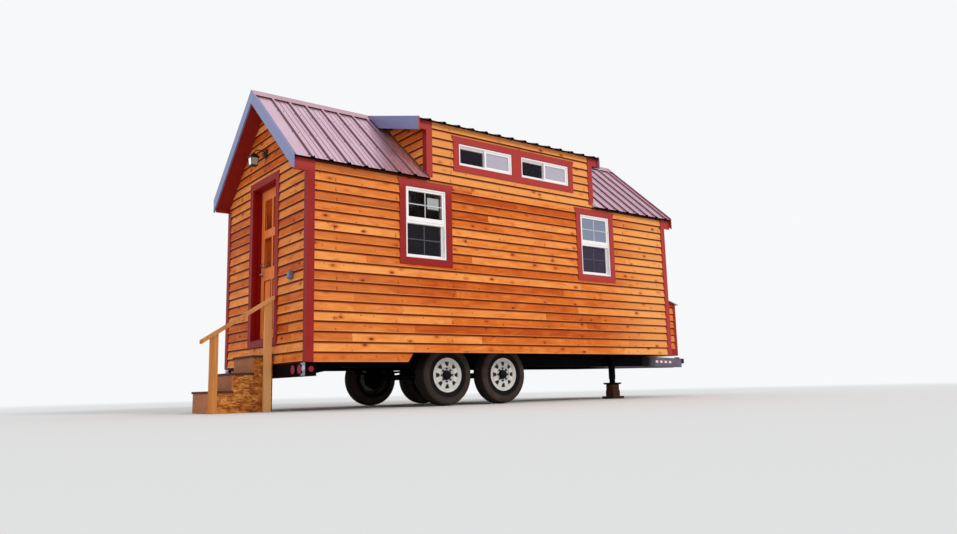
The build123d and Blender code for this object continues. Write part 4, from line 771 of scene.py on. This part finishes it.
boardEnd = halfWidth + house["trim"] - trimWidth
deck, returnFoot, dormerFoot = pick(house, "deck returnFoot dormerReturnFoot")


# A gable wall's outline above its skirt, stepped out over the corner boards' tops.
def gableOutline(bottom):
    eaveZ, peakZ = (roofZ(y, mainSlope, deck) for y in (halfWidth, 0))
    half = [(boardEnd, bottom), (boardEnd, returnFoot), (halfWidth, returnFoot), (halfWidth, eaveZ)]
    return [*half, (0, peakZ), *flip(half[::-1])]


doorHole = rectangle(*house["doorway"])
outlet = {"y": -0.845, "z": 1.545, "half": 0.042, "tall": 0.05}
outletHole = centred(-outlet["y"], *pick(outlet, "z half tall"))
lapBoards("door_end_boards", (-1, 0, 0), -doorX, [gableOutline(rearSkirt), doorHole, outletHole],
          rearSkirt + boards["doorEndRaised"] * boards["exposure"], 13)

box = {
    "half": 1.008, "roofHalf": 1.043, "back": 1.63, "roof": 0.012, "lip": 0.018, "front": 1.494,
    "reach": 0.486, "boardHalf": 0.99, "trim": 0.064, "baseTrim": 0.115,
}
boxHalf, boxRoofHalf, boxBack, boxTrim = pick(box, "half roofHalf back trim")
boxFoot, boxEave = frontSkirt + box["baseTrim"], boxBack - box["lip"]
notch = [(boxHalf, frontSkirt), (boxHalf, boxEave), (boxRoofHalf, boxEave),
         (boxRoofHalf, boxBack + box["roof"])]
lapBoards("hitch_end_boards", (1, 0, 0), hitchX, [[*gableOutline(frontSkirt), *flip(notch), *notch[::-1]]],
          frontSkirt, 14)


# Dormer cheeks: the triangle between the main roof's sheets and the dormer's soffit
def cheekTop(y):
    return roofZ(y, dormerSlope, deck)


def cheekFoot(y):
    return roofZ(y, mainSlope, -house["metalHeight"])


apex = (cheekTop(0) - cheekFoot(0)) / (dormerSlope - mainSlope)
cheek = [
    (boardEnd, cheekFoot(boardEnd)), (boardEnd, dormerFoot), (halfWidth, dormerFoot),
    (halfWidth, cheekTop(halfWidth)), (apex, cheekTop(apex)),
]
for index, (end, x, out) in enumerate(zip(("rear", "front"), house["dormerX"], (-1, 1))):
    for side, sign in bothSides:
        turned = cheek if out * sign > 0 else flip(cheek)
        lapBoards(f"{side}_{end}_cheek_boards", (out, 0, 0), out * x, [turned], rearSkirt, 20 + index)

# Utility box boards: two sides under a sloping top, and the front
boxFront = hitchX + box["reach"]
fall = (boxBack - box["front"]) / box["reach"]
inner = boxFront + box["lip"] - boxTrim
boxTop = boxBack - boxTrim
boxSide = [(hitchX, boxFoot), (inner, boxFoot), (inner, boxTop - fall * (inner - hitchX)), (hitchX, boxTop)]
lapBoards("box_near_boards", (0, -1, 0), box["boardHalf"], [boxSide], frontSkirt, 31)
lapBoards("box_far_boards", (0, 1, 0), box["boardHalf"], [flip(boxSide)], frontSkirt, 32)
boxEdge = boxHalf - boxTrim
boxFace = rectangle(-boxEdge, boxEdge, boxFoot, box["front"] - boxTrim)
lapBoards("box_front_boards", (1, 0, 0), boxFront, [boxFace], frontSkirt, 33)
print("lap boards nailed up")

# Window bars: a bevelled strip across the middle of each sash window's lights,
# light grey on the upper lights and painted dark on the lower ones as the shade of
# the screens over them
bars = {
    "width": 0.013, "depth": 0.004, "barBevel": 0.0015, "rim": 0.02, "stile": 0.026, "lowY": 1.2008,
    "highY": 1.2308, "railFoot": 0.015, "railWidth": 0.055, "railY": 1.2315, "railDepth": 0.0135,
    "railBevel": 0.003,
}


# The two lights of a sash window: (left, right, low, high, the bars' distance out)
def sashLights(x):
    edge, middle = bars["rim"] + bars["stile"], sashSill + sashHeight / 2
    left, right = x - sashWidth / 2 + edge, x + sashWidth / 2 - edge
    upperFoot = middle + bars["railFoot"] + bars["railWidth"]
    yield left, right, sashSill + edge, middle - bars["stile"] / 2, bars["lowY"]
    yield left, right, upperFoot, sashSill + sashHeight - edge, bars["highY"]


for side, sign in bothSides:
    lights = [light for x in windows["sashCentres"] for light in sashLights(x)]
    for part, chosen, finish in (("lower", lights[0::2], barShaded), ("upper", lights[1::2], barGrey)):
        starts, ends = [], []
        for left, right, low, high, out in chosen:
            across, up = (left + right) / 2, (low + high) / 2
            starts += [(across, sign * out, low), (left, sign * out, up)]
            ends += [(across, sign * out, high), (right, sign * out, up)]
        barMesh(f"{side}_{part}_window_bars", starts, ends, (0, sign, 0), *pick(bars, "width depth barBevel"),
                finish, "white_vinyl")
    railZ = sashSill + sashHeight / 2 + bars["railFoot"] + bars["railWidth"] / 2
    starts, ends = ([(x + way * (sashWidth / 2 - bars["rim"]), sign * bars["railY"], railZ)
                     for x in windows["sashCentres"]] for way in (-1, 1))
    barMesh(f"{side}_meeting_rails", starts, ends, (0, sign, 0), *pick(bars, "railWidth railDepth railBevel"),
            vinyl, "white_vinyl")
print("window bars set")

# Tyres: a closed profile turned about the axle. Ribs and grooves are cut into
# the crown as smooth dips, lugs into the shoulders by the turning angle.
tyre = {
    "profile": (
        (0.2036, -0.078), (0.212, -0.083), (0.226, -0.087), (0.262, -0.103), (0.3, -0.1085), (0.335, -0.1065),
        (0.356, -0.101), (0.368, -0.0925), (0.376, -0.081), (0.3815, -0.045), (0.3835, 0.0),
    ),
    "radius": 0.384, "half": 0.109, "bead": 0.2036, "wall": 0.02, "innerHalf": 0.066, "innerSteps": 14,
    "innerCurve": 0.6, "treadFrom": 0.37,
    "grooves": (-0.052, -0.018, 0.018, 0.052), "grooveDepth": 0.008, "grooveWidth": 0.0055,
    "lugs": 64, "lugEdge": 6, "lugDepth": 0.006, "lugY": 0.09, "lugWidth": 0.013, "lugFrom": 0.352,
    "rings": (0.243, 0.262, 0.322, 0.336), "ringHeight": 0.0018, "ringWidth": 0.0035, "ringsTo": 0.35,
    "around": 192, "across": 132, "smoothOver": 5,
}
wheels = {"rearX": -1.589, "frontX": -0.674, "y": 0.936, "z": 0.384}


# points evenly spaced along a line of corners, each one's distance and the corners'
def spaced(corners, count, endpoint=True):
    length = np.concatenate([[0], np.cumsum(np.linalg.norm(np.diff(corners, axis=0), axis=1))])
    at = np.linspace(0, length[-1], count, endpoint=endpoint)
    return np.interp(at, length, corners[:, 0]), np.interp(at, length, corners[:, 1]), at, length


# x + r * sin(angle) along the house, y across it and z + r * cos(angle) up
def turnedPoints(x, y, radius, angle):
    angle = angle[:, None]
    lines = (x + radius * np.sin(angle), y, wheels["z"] + radius * np.cos(angle))
    return np.stack(np.broadcast_arrays(*lines), -1)


# radius(angle, v) = profile - grooves - shoulder lugs; side(v) = profile + rings
def tyreMesh(name, x, side, body):
    outside = np.array(tyre["profile"])
    r, y, _, _ = spaced(np.concatenate([outside, outside[-2::-1] * (1, -1)]), tyre["across"])
    for line in (r, y):
        span = tyre["smoothOver"]
        line[span // 2:-(span // 2)] = np.convolve(line, np.ones(span) / span, "valid")
    tread = r > tyre["treadFrom"]
    for groove in tyre["grooves"]:
        r = r - tread * tyre["grooveDepth"] * np.exp(-(((y - groove) / tyre["grooveWidth"]) ** 4))
    out = np.sign(y) * (r < tyre["ringsTo"])
    for ring in tyre["rings"]:
        y = y + out * tyre["ringHeight"] * np.exp(-(((r - ring) / tyre["ringWidth"]) ** 2))
    y = np.clip(y, -tyre["half"], tyre["half"])
    inner = np.linspace(0, math.pi, tyre["innerSteps"])[1:-1]
    bead, crown = tyre["bead"], tyre["radius"] - tyre["wall"]
    innerR = bead + (crown - bead) * np.sin(inner) ** tyre["innerCurve"]
    angle = np.linspace(0, 2 * math.pi, tyre["around"], endpoint=False)
    lug = 0.5 + 0.5 * np.tanh(tyre["lugEdge"] * np.sin(angle * tyre["lugs"]))
    shoulder = np.exp(-(((np.abs(y) - tyre["lugY"]) / tyre["lugWidth"]) ** 4)) * (r > tyre["lugFrom"])
    radius = r - tyre["lugDepth"] * lug[:, None] * shoulder
    radius = np.concatenate([radius, np.repeat(innerR[None], len(angle), 0)], 1)
    across = np.concatenate([y, tyre["innerHalf"] * np.cos(inner)])
    points = turnedPoints(x, side * wheels["y"] + across, radius, angle)
    faces = gridFaces(len(angle), len(across), True, True)[:, ::-1]
    piece = makePiece(name, points, [faces], rubber, "tyre_rubber", body, True, values={"reach": radius})
    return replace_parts(piece, f"{body[:-6]}_tyre")


# Rims: a closed profile turned about the axle, from the hub out over the spoked
# disc and the lip and back inside the barrel. Eight windows are dips in the disc,
# wider towards the lip, painted dark inside as the shade seen through a hole.
# The barrel is painted dark as shade, and two seams hold dirt.
rim = {
    "profile": (
        (0.04, 0.067), (0.084, 0.068), (0.092, 0.072), (0.11, 0.087), (0.12, 0.089), (0.15, 0.085),
        (0.168, 0.082), (0.176, 0.08), (0.182, 0.084), (0.188, 0.086), (0.194, 0.084), (0.201, 0.086),
        (0.207, 0.0895), (0.212, 0.0945), (0.2175, 0.0945), (0.2178, 0.09), (0.2155, 0.086), (0.2034, 0.081),
        (0.203, 0.06), (0.188, 0.03), (0.188, -0.05), (0.203, -0.07), (0.2034, -0.081), (0.2155, -0.086),
        (0.2178, -0.0945), (0.211, -0.0945), (0.199, -0.084), (0.196, -0.066), (0.181, -0.046),
        (0.181, 0.032), (0.18, 0.066), (0.168, 0.072), (0.12, 0.078), (0.11, 0.076), (0.092, 0.062),
        (0.04, 0.058),
    ),
    "faceEnds": 14, "around": 256, "across": 150, "windows": 8, "windowAt": 0.141, "windowHalf": 0.027,
    "narrow": 0.014, "wide": 0.033, "dip": 0.009, "windowFrom": 0.0795, "windowEdge": 1.06,
    "windowSlope": 0.12, "seams": (0.176, 0.1975), "seamWidth": 0.003, "seamFrom": 0.07,
    "barrelFrom": 0.0605, "shadeAndDirt": (0.9, 0.45, 0.3),
}
hub = {
    "nutCircle": 0.0805, "nuts": 8, "nut": (0.0205, 0.022), "seat": 0.069,
    "cap": (
        (0.063, -0.008), (0.063, 0.004), (0.06, 0.008), (0.056, 0.03), (0.051, 0.036), (0.036, 0.0385),
        (0.006, 0.039),
    ),
}


# depth(angle, r) = profile - dip * window, where window is 1 inside a tapered box
def rimMesh(name, x, side, body):
    corners = np.array(rim["profile"])
    r, y, at, length = spaced(np.concatenate([corners, corners[:1]]), rim["across"], False)
    angle = np.linspace(0, 2 * math.pi, rim["around"], endpoint=False)
    step = 2 * math.pi / rim["windows"]
    local = (angle + step / 2) % step - step / 2
    radial = (r - rim["windowAt"]) / rim["windowHalf"]
    half = rim["narrow"] + (rim["wide"] - rim["narrow"]) * np.clip(radial + 1, 0, 2) / 2
    edge = np.maximum(np.abs(local[:, None] * r) / half, np.abs(radial))
    onFace = (y > rim["windowFrom"]) * (at < length[rim["faceEnds"]])
    window = np.clip((rim["windowEdge"] - edge) / rim["windowSlope"], 0, 1) * onFace
    inSeam, outSeam = (np.exp(-(((r - seam) / rim["seamWidth"]) ** 2)) for seam in rim["seams"])
    barrel, inner, outer = rim["shadeAndDirt"]
    stain = np.where(y < rim["barrelFrom"], barrel, inner * inSeam + outer * outSeam * (y > rim["seamFrom"]))
    points = turnedPoints(x, side * (wheels["y"] + y - rim["dip"] * window), r, angle)
    faces = gridFaces(len(angle), len(r), True, True)
    faces = faces[:, ::-1] if side > 0 else faces
    # pit: painted shade in the windows and the barrel, dirt in the seams
    pit = np.maximum(np.clip(window * 1.6 - 0.3, 0, 1), stain)
    piece = makePiece(name, points, [faces], enamel, "rim_white", body, True, values={"pit": pit})
    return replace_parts(piece, f"{body[:-6]}_rim")


for end, x in (("rear", wheels["rearX"]), ("front", wheels["frontX"])):
    for sideName, side in bothSides:
        wheel = f"{sideName}_{end}"
        body = f"{wheel}_wheel"
        tyreMesh(f"{wheel}_tyre_tread", x, side, body)
        rimMesh(f"{wheel}_rim_disc", x, side, body)
        face = side * (wheels["y"] + hub["seat"])
        angles = np.arange(hub["nuts"]) * 2 * math.pi / hub["nuts"]
        across, up = hub["nutCircle"] * np.cos(angles), hub["nutCircle"] * np.sin(angles)
        seats = np.stack([x + across, face + 0 * up, wheels["z"] + up], -1)
        axle, middle = (0, side, 0), (x, face, wheels["z"])
        nutMesh(f"{wheel}_lug_nuts", seats, axle, *hub["nut"], hubBlack, "rim_white", body)
        turnedMesh(f"{wheel}_hub_cap", middle, axle, hub["cap"], hubBlack, "black_steel", body)
print("tyres mounted")

# Roof edges: a folded drip edge under each eave, a closure in each rib's end, and
# a strip over the sheets' cut edge, all near-black as real trim that also stands for
# the shade under the sheets' edge and in the ribs' open ends (painted shade). Low
# ribs and screws lie over the sheets.
roof = {
    "drip": (
        (-0.004, 0.003), (0.0, -0.001), (0.0005, -0.014), (0.0055, -0.019), (0.004, -0.021),
        (-0.0035, -0.015),
    ),
    "strip": ((0.001, -0.001), (-0.002, -0.001), (-0.002, 0.0045), (0.001, 0.0045)),
    "plugBase": 0.031, "plugTop": 0.014, "plugTall": 0.0215, "plugDeep": 0.006, "plugProud": 0.0022,
    "lowRibs": (0.0762, 0.1524), "lowBase": 0.014, "lowTop": 0.006, "lowTall": 0.0025, "stop": 0.062,
    "lowFoot": 0.004, "lowClear": 0.02, "screwSide": 0.038, "washer": (0.017, 0.0022), "head": (0.01, 0.0075),
}
eaves = [
    ("rear", house["rakeX"][0], house["dormerX"][0], mainSlope, house["eave"], (0.06, 0.66, 1.26)),
    ("front", house["dormerX"][1], house["rakeX"][1], mainSlope, house["eave"], (0.06, 0.66, 1.26)),
    ("dormer", *house["dormerRakeX"], dormerSlope, house["dormerEave"], (0.06, 0.62, 1.12)),
]


# a tapered section: (half a width, height) pairs, its foot sunk 1 mm
def tapered(base, top, tall):
    return (-base, -0.001), (base, -0.001), (top, tall), (-top, tall)


def roofEdges(name, start, end, slope, eave, rows):
    down = np.array([1.0, -slope]) / math.hypot(1, slope)
    square = np.array([slope, 1.0]) / math.hypot(1, slope)
    ribX = ribs["first"] + ribs["spacing"] * np.arange(*ribs["span"])
    ribX = ribX[(ribX >= start + ribs["base"] - 1e-6) & (ribX < end - ribs["base"])]
    lowX = (ribX[:, None] + roof["lowRibs"]).ravel()
    lowX = lowX[lowX < end - roof["lowClear"]]
    length = metalHalf * math.hypot(1, slope) - roof["stop"]
    reach = roof["plugDeep"] + roof["plugProud"]
    skin = ribs["sheet"]
    plugShape = tapered(*pick(roof, "plugBase plugTop plugTall"))
    lowShape = tapered(roof["lowBase"] / 2, roof["lowTop"] / 2, roof["lowTall"])
    for side, sign in bothSides:
        def spot(x, along, above):
            y, z = np.array([metalHalf, eave]) - down * along + square * above
            return x, sign * y, z

        def edge(part, sections, run, material=blackEdge, slot="black_steel"):
            carried(f"{side}_{name}_{part}", sections, [run] * len(sections), material, slot)

        fallLine = np.array((0, sign * down[0], down[1]))
        whole = (end - start, 0, 0)
        edge("drip_edge", [[(start, sign * (metalHalf + y), eave + z) for y, z in roof["drip"]]], whole)
        edge("sheet_edge", [[spot(start, *corner) for corner in roof["strip"]]], whole)
        plugs = [[spot(x + half, roof["plugDeep"], above) for half, above in plugShape] for x in ribX]
        edge("rib_ends", plugs, fallLine * reach)
        lows = [[spot(x + half, roof["lowFoot"], skin + above) for half, above in lowShape] for x in lowX]
        edge("low_ribs", lows, -fallLine * length, lowRibRed, "roof_sheet")
        screwX = [x + way * roof["screwSide"] for x in ribX for way in (-1, 1)]
        seats = [spot(x, along, skin) for x in screwX for along in rows]
        outward = (0, sign * square[0], square[1])
        for part, size, sides in (("washers", roof["washer"], 8), ("screws", roof["head"], 6)):
            nutMesh(f"{side}_{name}_{part}", seats, outward, *size, blackEdge, "black_steel", sides=sides)


for eave in eaves:
    roofEdges(*eave)
print("roof edges folded")

# Lantern panes: frosted glass a little proud of each face of the cage. The end
# panes are painted bright and glow as a painted reflection of the sky; the side
# panes are painted dim as shade.
lantern = {
    "x": -3.78, "y": -0.017, "ends": ((3.118, 0.0492, (-1, 1)), (3.032, 0.0418, (1, -1))), "rim": 0.009,
    "sunk": 0.0006, "pane": 0.002,
}


def lanternPanes(name, turns, material):
    x, y, pane = pick(lantern, "x y pane")
    corners = [(half - lantern["sunk"], edge * (half - lantern["rim"]), z)
               for z, half, edges in lantern["ends"] for edge in edges]
    sections = [[(x + c * out - s * along, y + s * out + c * along, z) for out, along, z in corners]
                for c, s in turns]
    carried(name, sections, [(c * pane, s * pane, 0) for c, s in turns], material, "lantern_black")


lanternPanes("lantern_end_panes", [(-1, 0), (1, 0)], frostedSkyLit)
lanternPanes("lantern_side_panes", [(0, -1), (0, 1)], frostedShaded)

# Door mouldings: strips round the lights and the tall panels on the leaf's outer
# face, in dark wood as the painted shade round the recessed lights and panels
door = {
    "face": -3.508, "half": 0.10175, "centreY": 0.13175, "strip": (0.011, 0.005, 0.002),
    "frames": ((2.462, 0.188), (1.968, 0.188), (1.305, 0.307)),
}
starts, ends = [], []
for y in (-door["centreY"], door["centreY"]):
    for z, tall in door["frames"]:
        ring = [(door["face"], *corner) for corner in centred(y, z, door["half"], tall)]
        starts += ring
        ends += ring[1:] + ring[:1]
barMesh("door_mouldings", starts, ends, (-1, 0, 0), *door["strip"], doorGrooveShade, "door_fir", "door")
print("lantern glazed, door moulded")

# Bumper ends: tread plate with a half-round clear lamp, and rings round the lamps
bumper = {
    "x": -3.624, "plate": (1.118, 1.236, 0.392, 0.534), "sunk": 0.0005, "proud": 0.0025,
    "lamp": (-3.625, 1.202, 0.47),
    "lampProfile": ((0.034, 0.0), (0.034, 0.008), (0.031, 0.012), (0.022, 0.0165), (0.01, 0.018)),
    "ringY": (1.112, 0.94), "ringZ": 0.463,
    "ringProfile": ((0.054, 0.0), (0.058, 0.003), (0.057, 0.009), (0.052, 0.01), (0.0502, 0.006)),
}
plates = [[(bumper["x"] + bumper["sunk"], sign * y, z) for y, z in rectangle(*bumper["plate"])]
          for _, sign in bothSides]
carried("bumper_plates", plates, [(-bumper["proud"], 0, 0)] * 2, treadPlate, "black_steel")
for sideName, sign in bothSides:
    x, y, z = bumper["lamp"]
    turnedMesh(f"{sideName}_plate_lamp", (x, sign * y, z), (-1, 0, 0), bumper["lampProfile"], lampClear,
               "lamp_red", around=24)
    for index, y in enumerate(bumper["ringY"]):
        turnedMesh(f"{sideName}_lamp_ring_{index}", (bumper["x"], sign * y, bumper["ringZ"]), (-1, 0, 0),
                   bumper["ringProfile"], steel, "black_steel")

# Reflective tape along each tongue leg, white and red by turns
tape = {
    "bend": (2.431, 0.747), "tip": (4.286, 0.078), "face": 0.0292, "z": 0.578, "tall": 0.019, "thick": 0.0008,
    "first": 0.615, "step": 0.223, "white": 0.115,
}
for sideName, sign in bothSides:
    bend, tip = (np.array([x, sign * y, 0]) for x, y in (tape["bend"], tape["tip"]))
    along = (tip - bend) / np.linalg.norm(tip - bend)
    out = np.array([along[1] * -sign, along[0] * sign, 0])
    red = tape["step"] - tape["white"]
    for shade, material, count, late, length in (
        ("white", tapeWhite, 4, 0, tape["white"]), ("red", tapeRed, 3, tape["white"], red),
    ):
        corners = rectangle(0, length, tape["z"] - tape["tall"], tape["z"] + tape["tall"])
        begin = tape["first"] + np.arange(count) * tape["step"] + late
        strips = [[bend + along * (at + ahead) + out * tape["face"] + (0, 0, z) for ahead, z in corners]
                  for at in begin]
        carried(f"{sideName}_tape_{shade}", strips, [out * tape["thick"]] * count, material, "black_steel")
print("bumper and tongue dressed")

# Outlet cover: rounded-square rings, |y/a|^4 + |z/b|^4 = 1, drawn in towards the
# domed front, and five upright ridges on it, paler than the cover as painted
# highlights
cover = {
    "rings": ((0.0, 1.0), (0.04, 1.0), (0.054, 0.95), (0.061, 0.86), (0.0635, 0.74)), "power": 4,
    "around": 48, "ridgeX": -3.6665, "ridges": 5, "ridgeSpread": 0.022, "ridgeHalf": 0.028,
    "ridge": (0.005, 0.004, 0.001),
}
angle = np.linspace(0, 2 * math.pi, cover["around"], endpoint=False)
ringY, ringZ = np.cos(angle), np.sin(angle)
stretch = (np.abs(ringY) ** cover["power"] + np.abs(ringZ) ** cover["power"]) ** (-1 / cover["power"])
depth, share = np.array(cover["rings"]).T[:, :, None]
shell = np.stack([
    doorX - depth + 0 * stretch, outlet["y"] - share * outlet["half"] * ringY * stretch,
    outlet["z"] + share * outlet["tall"] * ringZ * stretch,
], -1)
shellFaces = tubeFaces(len(depth), cover["around"])
outletCover = makePiece("outlet_cover", shell, shellFaces, outletGrey, "outlet_grey", smooth=True)
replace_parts(outletCover, "outlet_box")
starts, ends = (
    [(cover["ridgeX"], outlet["y"] + y, outlet["z"] + way * cover["ridgeHalf"])
     for y in np.linspace(-cover["ridgeSpread"], cover["ridgeSpread"], cover["ridges"])] for way in (-1, 1)
)
barMesh("outlet_ridges", starts, ends, (-1, 0, 0), *cover["ridge"], outletRidgeHighlight, "outlet_grey")

# Camera: placed by the fit of the boards' course lines, in metres and degrees
view = {
    "place": (-7.2376, -9.027, 0.2126), "yaw": 37.723, "pitch": 8.972, "roll": -1.45, "lens": 28.81,
    "sensor": 36.0,
}


def makeCamera():
    yaw, pitch, roll = map(math.radians, pick(view, "yaw pitch roll"))
    forward = Vector((math.sin(yaw) * math.cos(pitch), math.cos(yaw) * math.cos(pitch), math.sin(pitch)))
    level = Vector((math.cos(yaw), -math.sin(yaw), 0))
    rise = level.cross(forward)
    right = math.cos(roll) * level + math.sin(roll) * rise
    up = math.cos(roll) * rise - math.sin(roll) * level
    camera = linked("viewer", bpy.data.cameras.new("viewer"))
    camera.data.lens, camera.data.sensor_width = view["lens"], view["sensor"]
    turn = Matrix((right, up, -forward)).transposed().to_4x4()
    camera.matrix_world = Matrix.Translation(view["place"]) @ turn
    bpy.context.scene.camera = camera


# Studio: a pale floor that fades into a pale surround, one broad sun, soft sky
studio = {
    "floor": (0.8, 0.8, 0.79), "floorHalf": 60.0, "floorZ": -0.001, "fadeFrom": 9.0, "fadeTo": 26.0,
    "surround": (0.93, 0.94, 0.95), "sky": (0.95, 0.97, 1.0), "skyStrength": 0.8,
    "mirrored": (0.74, 0.83, 1.0),
    "sun": 0.95, "sunColour": (1.0, 0.97, 0.92), "sunAngle": 14.0, "sunFrom": (0.32, -0.8, 0.62),
}


# 1 for rays that see the background itself: camera and clear glass
def seenRay(f):
    return f.most(*(f.node("LightPath", output=name) for name in ("Is Camera Ray", "Is Transmission Ray")))


def makeFloor():
    f = Finish("studioFloor")
    away = f.node("VectorMath", {0: f.place}, 1, operation="LENGTH")
    far = f.fade(away, studio["fadeFrom"], studio["fadeTo"]) * seenRay(f)
    paper = f.node("BsdfDiffuse", {"Color": studio["floor"]})
    glow = f.node("Emission", {"Color": studio["surround"], "Strength": 1.0})
    mesh, half = bpy.data.meshes.new("studio_floor"), studio["floorHalf"]
    corners = [(*corner, studio["floorZ"]) for corner in centred(0, 0, half, half)]
    mesh.from_pydata(corners, [], [(0, 1, 2, 3)])
    mesh.materials.append(f.close(f.node("MixShader", {0: far, 1: paper, 2: glow})))
    linked("studio_floor", mesh)


def makeLight():
    sun = linked("sun", bpy.data.lights.new("sun", "SUN"))
    sun.data.energy, sun.data.angle = studio["sun"], math.radians(studio["sunAngle"])
    sun.data.color = studio["sunColour"]
    sun.rotation_euler = Vector(studio["sunFrom"]).to_track_quat("Z", "Y").to_euler()
    world = bpy.data.worlds.new("sky")
    bpy.context.scene.world = world
    world.use_nodes = True
    f = Finish("sky", world.node_tree)
    soft, mirrored, plain = (
        f.node("Background", {"Color": studio[colour], "Strength": strength})
        for colour, strength in (("sky", studio["skyStrength"]), ("mirrored", 1.0), ("surround", 1.0))
    )
    lit = f.node("MixShader", {0: f.node("LightPath", output="Is Glossy Ray"), 1: soft, 2: mirrored})
    f.node("OutputWorld", {0: f.node("MixShader", {0: seenRay(f), 1: lit, 2: plain})})


makeCamera()
makeFloor()
makeLight()
bpy.context.scene.view_settings.view_transform = "Standard"
print("camera and studio ready")
